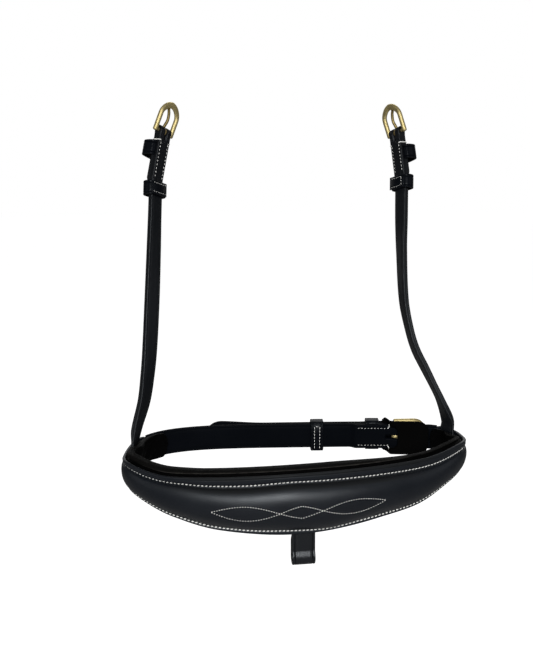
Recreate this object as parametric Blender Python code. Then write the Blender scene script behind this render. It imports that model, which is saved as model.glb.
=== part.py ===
"""Padded crescent noseband with a flash loop, a buckled chin strap and two cheek straps.

The ring that goes round the nose lies level: +X is the wearer's left side as the
front is looked at from outside (the viewer's right), +Y runs from the nose to the
chin and +Z runs up the face, towards the cheek buckles. The origin is the middle
of the ring. Every length is in metres.
"""

import math

import bmesh
import bpy
import numpy as np
from mathutils import Matrix, Vector

# Fit between pieces that touch
CLEARANCE = 0.0003
CUT_OVERRUN = 0.003

# The line round the nose that all the leather follows
RING_HALF_WIDTH = 0.133
RING_FRONT_DEPTH = 0.054
RING_BACK_DEPTH = 0.052
RING_SKEW_SHARE = 0.10
FRONT_POWER = 2.0
BACK_POWER = 3.6
RING_SAMPLES = 2880
RING_STATION = 0.011
BEND_STATION = 0.0055
BEND_START = 0.110
BEND_END = 0.245

# Padded front leather
FRONT_HALF_LENGTH = 0.200
FRONT_END_RADIUS = 0.012
FRONT_LEATHER = 0.0025
FRONT_SAG = 0.012
FRONT_TOP_RISE = 0.011
BOTTOM_SAG = 0.0193
BOTTOM_SAG_POWER = 2.57
FRONT_BELLY = 0.0109
FRONT_BOTTOM_LEAN = 0.0044
BELLY_POWER = 3.74
TOP_FLANGE = 0.0072
BOTTOM_FLANGE = 0.0042
DOME_HEIGHT = 0.0100
DOME_END_HEIGHT = 0.0008
DOME_FADE_POWER = 2.43
DOME_POWER = 0.62
FILLING_SHORT = 0.050

# Lining pad behind the front leather
PAD_LEFT_PAST = 0.0120
PAD_LEFT_LENGTH = FRONT_HALF_LENGTH + PAD_LEFT_PAST
PAD_RIGHT_SHORT = 0.0015
PAD_RIGHT_LENGTH = FRONT_HALF_LENGTH - PAD_RIGHT_SHORT
PAD_THICKNESS = 0.0095
PAD_END_THICKNESS = 0.0030
PAD_ROLL_RISE = 0.0040
PAD_BOTTOM_INSET = 0.0105
PAD_ROUNDNESS = 5.0
PAD_FOOT_SHARE = 0.62
PAD_TIP_SHARE = 0.05
POCKET_START = FRONT_HALF_LENGTH - 0.052
POCKET_END = FRONT_HALF_LENGTH - 0.035

# Chin straps
STRAP_WIDTH = 0.021
STRAP_THICKNESS = 0.0032
STRAP_BEVEL = 0.0008
STRAP_SEAT = 0.0065
TURNED_THICKNESS = 0.0064
TURNED_LENGTH = 0.033
SKIVE_LENGTH = 0.006
EYE_LEATHER = 0.0021
BILLET_TIP_LENGTH = 0.013
BILLET_TIP_SPRING = 0.0080
BILLET_HOLE_PITCH = 0.019
BILLET_HOLE_RADIUS = 0.0021
BILLET_SPARE_HOLES = 4

# Chin buckle, placed from the end of the front leather
CHIN_BAR_SPACE = 0.0285
CHIN_BAR_AT = FRONT_HALF_LENGTH + CHIN_BAR_SPACE
BILLET_REACH = 0.1595
BILLET_TIP_AT = CHIN_BAR_AT + BILLET_REACH
CHIN_BUCKLE_LENGTH = 0.024
CHIN_BAR_RADIUS = 0.0016
CHIN_LEG_RADIUS = 0.0018
CHIN_BOW_WIDTH = 0.0055
CHIN_BOW_THICKNESS = 0.0025
CHIN_BOW_ROUND = 0.0095
CHIN_LEG_ROOM = 0.0009
CHIN_TILT_DEG = 6.5
CHIN_TONGUE_RADIUS = 0.0011
TONGUE_RING_WALL = 0.0012
TONGUE_RING_WIDTH = 0.0026
TONGUE_REACH = 0.0012
SLOT_ROOM = 0.0005
CREW_SLOT_LENGTH = 0.0085

# Guard under the chin buckle
GUARD_WIDTH = 0.0275
GUARD_THICKNESS = 0.0018
GUARD_TAB_LENGTH = 0.0060
GUARD_REACH = 0.0285
GUARD_STEP_LENGTH = 0.0050
GUARD_SLOT_BACK = 0.0020
GUARD_ROUND = 0.009

# Keepers of the chin strap, placed from its buckle
CHIN_KEEPER_BAND = 0.0112
CHIN_RUNNER_BAND = 0.0108
KEEPER_LEATHER = 0.0016
KEEPER_ROOM = 0.0008
CHIN_KEEPER_SPACE = 0.0195
CHIN_KEEPER_AT = CHIN_BAR_AT + CHIN_KEEPER_SPACE
CHIN_RUNNER_SPACE = 0.0665
CHIN_RUNNER_AT = CHIN_BAR_AT + CHIN_RUNNER_SPACE
KEEPER_CORNER = 0.0012

# Flash loop under the middle of the front
LOOP_WIDTH = 0.0174
LOOP_LEATHER = 0.0020
LOOP_DROP = 0.0260
LOOP_AT = 0.0025
LOOP_TAB = 0.0065
LOOP_ROOM = 0.0072
LOOP_BULGE = 0.0016
LOOP_FLAT = 0.0080

# Cheek straps
CHEEK_LEFT_ROOT_AT = FRONT_HALF_LENGTH - 0.029
CHEEK_RIGHT_ROOT_AT = FRONT_HALF_LENGTH - 0.017
CHEEK_WIDTH = 0.013
CHEEK_THICKNESS = 0.0042
CHEEK_BEVEL = 0.0007
CHEEK_ROOT_DEPTH = 0.015
CHEEK_ROOT_LEVEL = 0.009
CHEEK_ROOT_THICKNESS = 0.0022
CHEEK_ROOT_INSET = 0.0015
CHEEK_SKIVE = 0.012
CHEEK_LEFT_LENGTH = 0.254
CHEEK_RIGHT_LENGTH = 0.252
CHEEK_LEAN_DEG = 17.0
CHEEK_TURNED_THICKNESS = 0.0070
CHEEK_LEFT_TURNED_LENGTH = 0.040
CHEEK_RIGHT_TURNED_LENGTH = 0.033
CHEEK_STATION = 0.0085

# Shape of each cheek strap: height and sideways run as shares of its length, turn in degrees
LEFT_ROUTE_SHARES = (
    (0.00, 0.000),
    (0.05, 0.006),
    (0.14, 0.030),
    (0.22, 0.041),
    (0.30, 0.048),
    (0.46, 0.056),
    (0.62, 0.062),
    (0.70, 0.0645),
    (0.78, 0.067),
    (0.845, 0.069),
    (0.880, 0.0723),
    (0.930, 0.081),
    (1.000, 0.0935),
)
LEFT_TURNS = ((0.00, 14.0), (0.10, 19.0), (0.24, 32.0), (0.34, 37.0), (0.46, 39.0), (0.62, 36.0), (0.74, 34.0), (1.00, 34.0))
RIGHT_ROUTE_SHARES = (
    (0.00, 0.000),
    (0.03, -0.004),
    (0.095, -0.031),
    (0.145, -0.054),
    (0.20, -0.077),
    (0.265, -0.1045),
    (0.33, -0.1205),
    (0.43, -0.1335),
    (0.60, -0.1355),
    (0.70, -0.1335),
    (0.78, -0.131),
    (0.845, -0.129),
    (0.880, -0.130),
    (0.930, -0.135),
    (1.000, -0.142),
)
RIGHT_TURNS = ((0.00, 11.0), (0.10, 1.0), (0.33, 1.0), (0.44, 10.0), (0.60, 20.0), (0.72, 31.0), (1.00, 31.0))

# Cheek buckles
CHEEK_BUCKLE_LENGTH = 0.0224
CHEEK_BUCKLE_LEAN_DEG = 13.0
CHEEK_BAR_RADIUS = 0.0015
CHEEK_LEG_RADIUS = 0.00175
CHEEK_BOW_WIDTH = 0.0052
CHEEK_BOW_THICKNESS = 0.0025
CHEEK_LEG_ROOM = 0.0016
CHEEK_TONGUE_RADIUS = 0.0010

# Keepers of the cheek straps
CHEEK_FIXED_BAND = 0.0120
CHEEK_RUNNER_BAND = 0.0115
CHEEK_LEFT_FIXED_DROP = 0.0155
CHEEK_RIGHT_FIXED_DROP = 0.0185
CHEEK_LEFT_RUNNER_DROP = 0.0475
CHEEK_RIGHT_RUNNER_DROP = 0.0434
CHEEK_RUNNER_TRAVEL = 0.022
CHEEK_KEEPER_OPENING = 0.0074
CHEEK_RUNNER_ROOM = 0.0010
CHEEK_SIDE_ROOM = 0.0014

# Colours
LEATHER_COLOUR = (0.010, 0.011, 0.016, 1.0)
LINING_COLOUR = (0.008, 0.008, 0.009, 1.0)
FELT_COLOUR = (0.20, 0.19, 0.17, 1.0)
BRASS_COLOUR = (0.78, 0.57, 0.25, 1.0)


def clear_scene():
    for thing in list(bpy.data.objects):
        bpy.data.objects.remove(thing, do_unlink=True)


def material(name, colour, roughness, metallic):
    made = bpy.data.materials.new(name)
    made.use_nodes = True
    shader = made.node_tree.nodes["Principled BSDF"]
    shader.inputs["Base Color"].default_value = colour
    shader.inputs["Roughness"].default_value = roughness
    shader.inputs["Metallic"].default_value = metallic
    made.diffuse_color = colour
    return made


def leather(name):
    return material(name + "_leather", LEATHER_COLOUR, 0.45, 0.0)


def brass(name):
    return material(name + "_brass", BRASS_COLOUR, 0.22, 1.0)


def add_object(name, mesh, look, place=None):
    made = bpy.data.objects.new(name, mesh)
    bpy.context.scene.collection.objects.link(made)
    if look is not None:
        mesh.materials.append(look)
    if place is not None:
        made.matrix_world = place
    return made


def mesh_from(name, bm):
    bmesh.ops.recalc_face_normals(bm, faces=bm.faces)
    mesh = bpy.data.meshes.new(name)
    bm.to_mesh(mesh)
    bm.free()
    mesh.shade_smooth()
    mesh.set_sharp_from_angle(angle=math.radians(35.0))
    return mesh


def loft(name, loops):
    """A closed tube through loops of points, with a flat cap on each end."""
    bm = bmesh.new()
    rows = [[bm.verts.new(point) for point in loop] for loop in loops]
    count = len(rows[0])
    for lower, upper in zip(rows, rows[1:]):
        for i in range(count):
            j = (i + 1) % count
            bm.faces.new((lower[i], lower[j], upper[j], upper[i]))
    bm.faces.new(list(reversed(rows[0])))
    bm.faces.new(rows[-1])
    return mesh_from(name, bm)


def closed_loft(name, loops):
    """A closed ring through loops of points, the last joined to the first."""
    bm = bmesh.new()
    rows = [[bm.verts.new(point) for point in loop] for loop in loops]
    count = len(rows[0])
    for k, lower in enumerate(rows):
        upper = rows[(k + 1) % len(rows)]
        for i in range(count):
            j = (i + 1) % count
            bm.faces.new((lower[i], lower[j], upper[j], upper[i]))
    return mesh_from(name, bm)


def cylinder_mesh(name, radius, length, sides):
    bm = bmesh.new()
    half_facet = Matrix.Rotation(math.pi / sides, 4, "Z")
    bmesh.ops.create_cone(
        bm, cap_ends=True, segments=sides, radius1=radius, radius2=radius, depth=length, matrix=half_facet
    )
    return mesh_from(name, bm)


def box_mesh(name, size):
    bm = bmesh.new()
    bmesh.ops.create_cube(bm, size=1.0)
    bmesh.ops.scale(bm, vec=size, verts=bm.verts)
    return mesh_from(name, bm)


def cutter(name, mesh, place):
    tool = add_object(name, mesh, None, place)
    tool.hide_render = True
    tool.display_type = "WIRE"
    return tool


def boolean(target, tool, operation):
    step = target.modifiers.new(operation.title() + "_" + tool.name, "BOOLEAN")
    step.operation = operation
    step.solver = "EXACT"
    step.object = tool


def smooth_step(value):
    value = min(max(value, 0.0), 1.0)
    return value * value * (3.0 - 2.0 * value)


def curve_through(value, places, heights):
    """Cubic curve through a few chosen points."""
    last = len(places) - 1
    k = 0
    while k < last - 1 and value > places[k + 1]:
        k += 1

    def slope(i):
        low = max(i - 1, 0)
        high = min(i + 1, last)
        return (heights[high] - heights[low]) / (places[high] - places[low])

    span = places[k + 1] - places[k]
    u = min(max((value - places[k]) / span, 0.0), 1.0)
    start = (1.0 + 2.0 * u) * (1.0 - u) ** 2 * heights[k]
    end = u * u * (3.0 - 2.0 * u) * heights[k + 1]
    lift = u * (1.0 - u) ** 2 * span * slope(k)
    drop = u * u * (1.0 - u) * span * slope(k + 1)
    return start + end + lift - drop


def tabulate_ring():
    """Points, lengths and outward normals round the nose, from the middle of the front."""
    angles = np.linspace(-0.5 * math.pi, 1.5 * math.pi, RING_SAMPLES + 1)
    cosine = np.cos(angles)
    sine = np.sin(angles)
    front = sine < 0.0
    power = np.where(front, FRONT_POWER, BACK_POWER)
    depth = np.where(front, RING_FRONT_DEPTH, RING_BACK_DEPTH)
    x = RING_HALF_WIDTH * np.sign(cosine) * np.abs(cosine) ** (2.0 / power)
    skew = RING_SKEW_SHARE * np.where(front, 1.0, 1.0 - np.abs(sine))
    y = depth * np.sign(sine) * np.abs(sine) ** (2.0 / power) + skew * x
    steps = np.hypot(np.diff(x), np.diff(y))
    lengths = np.concatenate(([0.0], np.cumsum(steps)))
    run_x = np.gradient(x)
    run_y = np.gradient(y)
    size = np.hypot(run_x, run_y)
    return {
        "length": lengths[-1],
        "s": lengths,
        "x": x,
        "y": y,
        "tx": run_x / size,
        "ty": run_y / size,
    }


RING = tabulate_ring()


def ring_frame(s):
    """Point, direction and outward normal at a length s from the middle of the front."""
    s = s % RING["length"]
    point = Vector((np.interp(s, RING["s"], RING["x"]), np.interp(s, RING["s"], RING["y"]), 0.0))
    along = Vector((np.interp(s, RING["s"], RING["tx"]), np.interp(s, RING["s"], RING["ty"]), 0.0))
    along.normalize()
    outward = Vector((along.y, -along.x, 0.0))
    return point, along, outward


def on_ring(s, out, up):
    point, along, outward = ring_frame(s)
    return point + outward * out + Vector((0.0, 0.0, up))


def ring_reading(place):
    """Length along the ring and distance outside it of the nearest point to a place."""
    gap = np.hypot(RING["x"] - place.x, RING["y"] - place.y)
    s = float(RING["s"][int(np.argmin(gap))])
    point, along, outward = ring_frame(s)
    return s, (place - point).dot(outward)


def front_share(s):
    share = s / FRONT_HALF_LENGTH
    return max(1.0 - share * share, 0.0)


def front_top(s):
    share = front_share(s)
    return 0.5 * STRAP_WIDTH - FRONT_SAG * share + FRONT_TOP_RISE * share * share


def front_bottom(s):
    share = front_share(s)
    return -0.5 * STRAP_WIDTH - BOTTOM_SAG * share ** BOTTOM_SAG_POWER - FRONT_BELLY * share ** BELLY_POWER


def front_lean(s, height_share):
    """How far the bottom of the front leans in towards the nose."""
    return -FRONT_BOTTOM_LEAN * front_share(s) ** 2 * (1.0 - height_share)


def end_round(s, half_length):
    """Share of the height that is left inside the rounded end of a panel."""
    into = max(abs(s) - (half_length - FRONT_END_RADIUS), 0.0) / FRONT_END_RADIUS
    return math.sqrt(max(1.0 - into * into, 0.0))


def dome_height(s):
    return DOME_END_HEIGHT + (DOME_HEIGHT - DOME_END_HEIGHT) * front_share(s) ** DOME_FADE_POWER


def dome_rise(s, height_share):
    """Rise of the raised middle of the front above its two sewn flanges."""
    height = front_top(s) - front_bottom(s)
    low = BOTTOM_FLANGE / height
    high = 1.0 - TOP_FLANGE * (0.45 + 0.55 * front_share(s)) / height
    across = (height_share - low) / (high - low)
    if across <= 0.0 or across >= 1.0:
        return 0.0
    ends = smooth_step(end_round(s, FRONT_HALF_LENGTH) * 1.1)
    return ends * dome_height(s) * (4.0 * across * (1.0 - across)) ** DOME_POWER


def dome_span(s):
    height = front_top(s) - front_bottom(s)
    low = BOTTOM_FLANGE / height
    high = 1.0 - TOP_FLANGE * (0.45 + 0.55 * front_share(s)) / height
    return low, high


def front_point(s, height_share, lift):
    """Point on the front at a share of its height, lifted outwards from its back."""
    middle = 0.5 * (front_top(s) + front_bottom(s))
    half = 0.5 * (front_top(s) - front_bottom(s)) * end_round(s, FRONT_HALF_LENGTH)
    up = middle + (2.0 * height_share - 1.0) * half
    return on_ring(s, front_lean(s, height_share) + lift, up)


def even_stations(start, end, step):
    count = max(int(round(abs(end - start) / step)), 1)
    return [start + (end - start) * i / count for i in range(count + 1)]


def ring_grid():
    """Stations that every piece round the ring shares, closer together in its bends."""
    half = even_stations(0.0, BEND_START, RING_STATION)[:-1]
    half += even_stations(BEND_START, BEND_END, BEND_STATION)
    half += even_stations(BEND_END, 0.5 * RING["length"], RING_STATION)[1:]
    grid = set()
    for turn in (-1.0, 0.0, 1.0):
        for s in half:
            grid.add(round(turn * RING["length"] + s, 9))
            grid.add(round(turn * RING["length"] - s, 9))
    return sorted(grid)


GRID = ring_grid()


def ring_stations(start, end):
    low = min(start, end)
    high = max(start, end)
    spare = 0.2 * BEND_STATION
    inside = [s for s in GRID if low + spare < s < high - spare]
    stations = [low] + inside + [high]
    return stations if start < end else list(reversed(stations))


def panel_stations(left, right):
    """Stations of a panel of the front, closer together in its rounded ends."""
    tip_shares = (0.45, 0.75, 0.93, 0.99)
    body = ring_stations(FRONT_END_RADIUS - left, right - FRONT_END_RADIUS)
    left_tip = [FRONT_END_RADIUS - left - share * FRONT_END_RADIUS for share in reversed(tip_shares)]
    right_tip = [right - FRONT_END_RADIUS + share * FRONT_END_RADIUS for share in tip_shares]
    return left_tip + body + right_tip


DOME_SHARES = (0.0, 0.03, 0.10, 0.22, 0.38, 0.55, 0.72, 0.86, 0.95, 0.99, 1.0)


def make_front_leather():
    """The outer leather of the front, a sheet raised over its filling."""
    loops = []
    for s in panel_stations(FRONT_HALF_LENGTH, FRONT_HALF_LENGTH):
        low, high = dome_span(s)
        heights = [0.0] + [low + (high - low) * share for share in DOME_SHARES] + [1.0]
        outer = [front_point(s, h, FRONT_LEATHER + dome_rise(s, h)) for h in heights]
        inner = [front_point(s, h, dome_rise(s, h)) for h in heights]
        loops.append(outer + list(reversed(inner)))
    add_object("front_leather", loft("front_leather", loops), leather("front"))


def make_front_filling():
    """The felt core that raises the middle of the front."""
    reach = FRONT_HALF_LENGTH - FILLING_SHORT
    loops = []
    for s in ring_stations(-reach, reach):
        low, high = dome_span(s)
        heights = [low + (high - low) * share for share in DOME_SHARES[2:-2]]
        face = [front_point(s, h, dome_rise(s, h) - CLEARANCE) for h in heights]
        back = [front_point(s, heights[k], CLEARANCE) for k in (-1, 0)]
        loops.append(face + back)
    look = material("front_filling_felt", FELT_COLOUR, 0.95, 0.0)
    add_object("front_filling", loft("front_filling", loops), look)


def pocket(s):
    """Room between the front leather and the pad for the strap ends sewn in there."""
    share = smooth_step((abs(s) - POCKET_START) / (POCKET_END - POCKET_START))
    return share * (CHEEK_THICKNESS + CLEARANCE)


def pad_length(s):
    return PAD_LEFT_LENGTH if s < 0.0 else PAD_RIGHT_LENGTH


def pad_share(s):
    share = s / pad_length(s)
    return max(1.0 - share * share, 0.0)


def pad_thickness(s):
    return PAD_END_THICKNESS + (PAD_THICKNESS - PAD_END_THICKNESS) * pad_share(s) ** 0.6


def pad_top(s):
    return front_top(s) + PAD_ROLL_RISE * min(pad_share(s) * 2.2, 1.0) - CLEARANCE


def pad_bottom(s):
    return front_bottom(s) + PAD_BOTTOM_INSET * front_share(s)


def pad_point(s, height_share, inner):
    top = pad_top(s)
    bottom = pad_bottom(s)
    middle = 0.5 * (top + bottom)
    half = 0.5 * (top - bottom) * max(end_round(s, pad_length(s)), PAD_TIP_SHARE)
    thick = pad_thickness(s) * (PAD_FOOT_SHARE + (1.0 - PAD_FOOT_SHARE) * height_share)
    edge = abs(2.0 * height_share - 1.0) ** PAD_ROUNDNESS
    draw = 0.5 * thick * (1.0 - (1.0 - edge) ** (1.0 / PAD_ROUNDNESS))
    up = middle + (2.0 * height_share - 1.0) * half
    level = (up - front_bottom(s)) / (front_top(s) - front_bottom(s))
    back = front_lean(s, min(max(level, 0.0), 1.0)) - CLEARANCE - pocket(s)
    out = back - thick + draw if inner else back - draw
    return on_ring(s, out, up)


def make_lining_pad():
    """The soft pad against the nose: crowned, with a roll that stands above the leather."""
    outer_shares = (0.0, 0.015, 0.06, 0.20, 0.45, 0.70, 0.86, 0.94, 0.985, 1.0)
    inner_shares = (0.985, 0.94, 0.86, 0.70, 0.45, 0.20, 0.06, 0.015)
    loops = []
    for s in panel_stations(PAD_LEFT_LENGTH, PAD_RIGHT_LENGTH):
        outer = [pad_point(s, share, False) for share in outer_shares]
        inner = [pad_point(s, share, True) for share in inner_shares]
        loops.append(outer + inner)
    look = material("lining_pad_leather", LINING_COLOUR, 0.8, 0.0)
    add_object("lining_pad", loft("lining_pad", loops), look)


def strap_section(middle, across, through, half_width, half_thick, bevel):
    """Eight points round a strap with its edges taken off."""
    bevel = min(bevel, 0.45 * half_thick, 0.45 * half_width)
    wide = half_width - bevel
    thick = half_thick - bevel
    corners = (
        (half_width, thick),
        (wide, half_thick),
        (-wide, half_thick),
        (-half_width, thick),
        (-half_width, -thick),
        (-wide, -half_thick),
        (wide, -half_thick),
        (half_width, -thick),
    )
    return [middle + across * a + through * b for a, b in corners]


def ring_strap(rows):
    """Section loops of a strap that runs round the ring, from rows of s, out, width, thickness."""
    up = Vector((0.0, 0.0, 1.0))
    loops = []
    for s, out, width, thick in rows:
        point, along, outward = ring_frame(s)
        middle = point + outward * out
        loops.append(strap_section(middle, up, outward, 0.5 * width, 0.5 * thick, STRAP_BEVEL))
    return loops


def turned_middle():
    """Middle of the turned-back end of the buckle strap, inside its outer face."""
    return -CLEARANCE - 0.5 * TURNED_THICKNESS


def eye_radius(bar_radius):
    return bar_radius + CLEARANCE + EYE_LEATHER


def eye_rows(eye, thick):
    """Distance past the bar and thickness there, round the fold over the bar."""
    shares = (-1.25, -0.75, -0.35, 0.0, 0.35, 0.65, 0.86, 0.985)
    rows = []
    for share in shares:
        full = 2.0 * eye * math.sqrt(max(1.0 - min(share, 1.0) ** 2, 0.0)) if share > 0.0 else 2.0 * eye
        settle = smooth_step(-share / 1.25) if share < 0.0 else 0.0
        rows.append((share * eye, full + (thick - full) * settle))
    return rows


def make_buckle_strap():
    """The strap from the viewer's left end of the front, folded round the chin buckle's bar."""
    eye = eye_radius(CHIN_BAR_RADIUS)
    start = -(FRONT_HALF_LENGTH - STRAP_SEAT)
    bar = CHIN_BAR_AT - RING["length"]
    turned = bar + TURNED_LENGTH
    skived = turned + SKIVE_LENGTH
    single = -CLEARANCE - 0.5 * STRAP_THICKNESS
    double = turned_middle()
    rows = [(s, single, STRAP_WIDTH, STRAP_THICKNESS) for s in ring_stations(start, skived)]
    rows += [(s, double, STRAP_WIDTH, TURNED_THICKNESS) for s in ring_stations(turned, bar + 1.6 * eye)]
    for past, thick in eye_rows(eye, TURNED_THICKNESS):
        rows.append((bar - past, double, STRAP_WIDTH, thick))
    strap = add_object("buckle_strap", loft("buckle_strap", ring_strap(rows)), leather("buckle_strap"))
    place = chin_bar_matrix()
    bar_hole = cylinder_mesh("chin_bar_hole", CHIN_BAR_RADIUS + CLEARANCE, STRAP_WIDTH + 2.0 * CUT_OVERRUN, 20)
    turn = Matrix.Rotation(0.5 * math.pi, 4, "Y")
    boolean(strap, cutter("chin_bar_hole", bar_hole, place @ turn), "DIFFERENCE")
    slot_width = TONGUE_RING_WIDTH + 2.0 * SLOT_ROOM
    slot_length = CREW_SLOT_LENGTH + eye + CUT_OVERRUN
    slot = box_mesh("chin_crew_slot", (slot_width, slot_length, 2.0 * eye + CUT_OVERRUN))
    middle = Matrix.Translation((0.0, 0.5 * slot_length - CREW_SLOT_LENGTH, 0.0))
    boolean(strap, cutter("chin_crew_slot", slot, flat_chin_matrix() @ middle), "DIFFERENCE")
    slit_size = (STRAP_WIDTH + 2.0 * CUT_OVERRUN, CHIN_KEEPER_BAND + 2.0 * CLEARANCE, KEEPER_LEATHER + 2.0 * CLEARANCE)
    slit = box_mesh("chin_keeper_slit", slit_size)
    boolean(strap, cutter("chin_keeper_slit", slit, ring_matrix(CHIN_KEEPER_AT, turned_middle())), "DIFFERENCE")


def ring_matrix(s, out):
    """Place on the ring: X across the strap, Y back along the ring, Z outwards."""
    point, along, outward = ring_frame(s)
    forward = -along
    middle = point + outward * out
    across = forward.cross(outward)
    rotation = Matrix((across, forward, outward)).transposed().to_4x4()
    return Matrix.Translation(middle) @ rotation


def flat_chin_matrix():
    return ring_matrix(CHIN_BAR_AT, turned_middle())


def chin_bar_matrix():
    """Place of the chin buckle: X along its bar, Y towards its bow, Z outwards, tilted over the billet."""
    tilt = Matrix.Rotation(math.radians(CHIN_TILT_DEG), 4, "X")
    return flat_chin_matrix() @ tilt


def chin_bow_reading():
    """Length along the ring and distance outside it of the inner edge of the chin buckle's bow."""
    inner_edge = CHIN_BUCKLE_LENGTH - 0.5 * CHIN_BOW_WIDTH
    return ring_reading(chin_bar_matrix() @ Vector((0.0, inner_edge, 0.0)))


def billet_rows():
    """Stations of the billet as s, distance outside the ring, width and thickness."""
    half = 0.5 * STRAP_THICKNESS
    bow_s, bow_out = chin_bow_reading()
    in_pocket = -CLEARANCE - half
    under_bow = bow_out - 0.5 * CHIN_BOW_THICKNESS - 4.0 * CLEARANCE - half
    over_eye = eye_radius(CHIN_BAR_RADIUS) + turned_middle() + CLEARANCE + half
    over_guard = GUARD_THICKNESS + CLEARANCE + half
    over_bar = max(over_eye, over_guard)
    on_strap = half
    keeper_low = CHIN_KEEPER_AT - 0.5 * CHIN_KEEPER_BAND
    keeper_high = CHIN_KEEPER_AT + 0.5 * CHIN_KEEPER_BAND
    runner_high = CHIN_RUNNER_AT + 4.0 * CHIN_RUNNER_BAND
    start = FRONT_HALF_LENGTH - STRAP_SEAT
    places = [
        start,
        FRONT_HALF_LENGTH + CLEARANCE,
        bow_s,
        CHIN_BAR_AT - eye_radius(CHIN_BAR_RADIUS),
        keeper_low,
        keeper_high + 0.5 * CHIN_KEEPER_BAND,
        CHIN_RUNNER_AT - CHIN_RUNNER_BAND,
        runner_high,
        BILLET_TIP_AT,
    ]
    outs = [
        in_pocket,
        in_pocket,
        under_bow,
        over_bar,
        over_bar,
        on_strap,
        on_strap,
        on_strap,
        on_strap + BILLET_TIP_SPRING,
    ]
    rows = []
    body_end = BILLET_TIP_AT - BILLET_TIP_LENGTH
    stations = ring_stations(start, body_end)
    stations += [body_end + share * BILLET_TIP_LENGTH for share in (0.30, 0.58, 0.80, 0.94, 0.995)]
    for s in stations:
        k = max(i for i, place in enumerate(places[:-1]) if s >= place or i == 0)
        share = smooth_step((s - places[k]) / (places[k + 1] - places[k]))
        out = outs[k] + (outs[k + 1] - outs[k]) * share
        into = max(s - body_end, 0.0) / BILLET_TIP_LENGTH
        width = STRAP_WIDTH * math.sqrt(max(1.0 - into * into, 0.0))
        rows.append((s, out, width, STRAP_THICKNESS))
    return rows


def billet_out(s):
    rows = billet_rows()
    return float(np.interp(s, [row[0] for row in rows], [row[1] for row in rows]))


def make_billet_strap():
    """The strap with the holes, from the viewer's right end of the front."""
    rows = billet_rows()
    strap = add_object("billet_strap", loft("billet_strap", ring_strap(rows)), leather("billet_strap"))
    used = CHIN_BAR_AT - eye_radius(CHIN_BAR_RADIUS) - BILLET_HOLE_RADIUS
    for k in range(BILLET_SPARE_HOLES + 1):
        s = used + k * BILLET_HOLE_PITCH
        depth = STRAP_THICKNESS + 2.0 * CUT_OVERRUN
        hole = cylinder_mesh("billet_hole", BILLET_HOLE_RADIUS, depth, 12)
        place = ring_matrix(s, billet_out(s))
        if k == 0:
            place = place @ Matrix.Diagonal((1.0, 2.8, 1.0, 1.0))
        boolean(strap, cutter("billet_hole_%d" % k, hole, place), "DIFFERENCE")


def round_section(middle, across, through, half_a, half_b, sides):
    """Points round a bar whose section is an ellipse with a flat top and bottom."""
    points = []
    for i in range(sides):
        angle = 2.0 * math.pi * (i + 0.5) / sides
        reach_b = min(max(1.08 * math.sin(angle), -1.0), 1.0)
        points.append(middle + across * (half_a * math.cos(angle)) + through * (half_b * reach_b))
    return points


def buckle_half_span(strap_width, leg_room, leg_radius):
    """Distance from the middle of a buckle to the middle of each leg."""
    return 0.5 * strap_width + leg_room + leg_radius


def make_buckle(name, place, span, length, bar_radius, leg_radius, bow_width, bow_thickness, bow_round):
    """A cast frame: a plain bar, two round legs and a bow swaged wide and flat."""
    outward = Vector((0.0, 0.0, 1.0))
    path = []
    foot = -bar_radius - 0.15 * leg_radius
    straight = length - bow_round
    for share in (0.0, 0.12, 0.5, 1.0):
        path.append((-span, foot + share * (straight - foot), 0.0, 0.0))
    corner_steps = 5
    for k in range(1, corner_steps + 1):
        angle = 0.5 * math.pi * k / corner_steps
        x = -span + bow_round * (1.0 - math.cos(angle))
        y = straight + bow_round * math.sin(angle)
        path.append((x, y, angle, smooth_step(angle / (0.38 * math.pi))))
    if span - bow_round > leg_radius:
        path.append((0.0, length, 0.5 * math.pi, 1.0))
    mirrored = [(-x, y, math.pi - angle, flat) for x, y, angle, flat in reversed(path)]
    if path[-1][0] > -0.2 * leg_radius:
        mirrored = mirrored[1:]
    loops = []
    for x, y, angle, flat in path + mirrored:
        along = Vector((math.sin(angle), math.cos(angle), 0.0))
        across = outward.cross(along)
        half_a = leg_radius + (0.5 * bow_width - leg_radius) * flat
        half_b = leg_radius + (0.5 * bow_thickness - leg_radius) * flat
        loops.append(round_section(Vector((x, y, 0.0)), across, outward, half_a, half_b, 12))
    frame = add_object(name, loft(name, loops), brass(name), place)
    bar = cylinder_mesh(name + "_bar", bar_radius, 2.0 * span, 16)
    turn = Matrix.Rotation(0.5 * math.pi, 4, "Y")
    boolean(frame, cutter(name + "_bar", bar, place @ turn), "UNION")
    return frame


def make_tongue(name, place, route, bar_radius, radius):
    """A tongue: a ring that turns on the bar, and a pin that rests on the bow."""
    sideways = Vector((1.0, 0.0, 0.0))
    loops = []
    for k, (y, z) in enumerate(route):
        before = route[max(k - 1, 0)]
        after = route[min(k + 1, len(route) - 1)]
        along = Vector((0.0, after[0] - before[0], after[1] - before[1])).normalized()
        through = sideways.cross(along)
        fine = radius * (0.82 if k == len(route) - 1 else 1.0)
        middle = Vector((0.0, y, z))
        loops.append([middle + sideways * (fine * math.cos(a)) + through * (fine * math.sin(a))
                      for a in [2.0 * math.pi * i / 10 for i in range(10)]])
    pin = add_object(name, loft(name, loops), brass(name), place)
    outer = bar_radius + CLEARANCE + TONGUE_RING_WALL
    inner = bar_radius + CLEARANCE
    ring_loops = []
    half = 0.5 * TONGUE_RING_WIDTH
    for k in range(16):
        angle = 2.0 * math.pi * k / 16
        ray = Vector((0.0, math.cos(angle), math.sin(angle)))
        ring_loops.append([
            ray * inner - sideways * half,
            ray * outer - sideways * half,
            ray * outer + sideways * half,
            ray * inner + sideways * half,
        ])
    collar = cutter(name + "_ring", closed_loft(name + "_ring", ring_loops), place)
    boolean(pin, collar, "UNION")
    return pin


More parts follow.
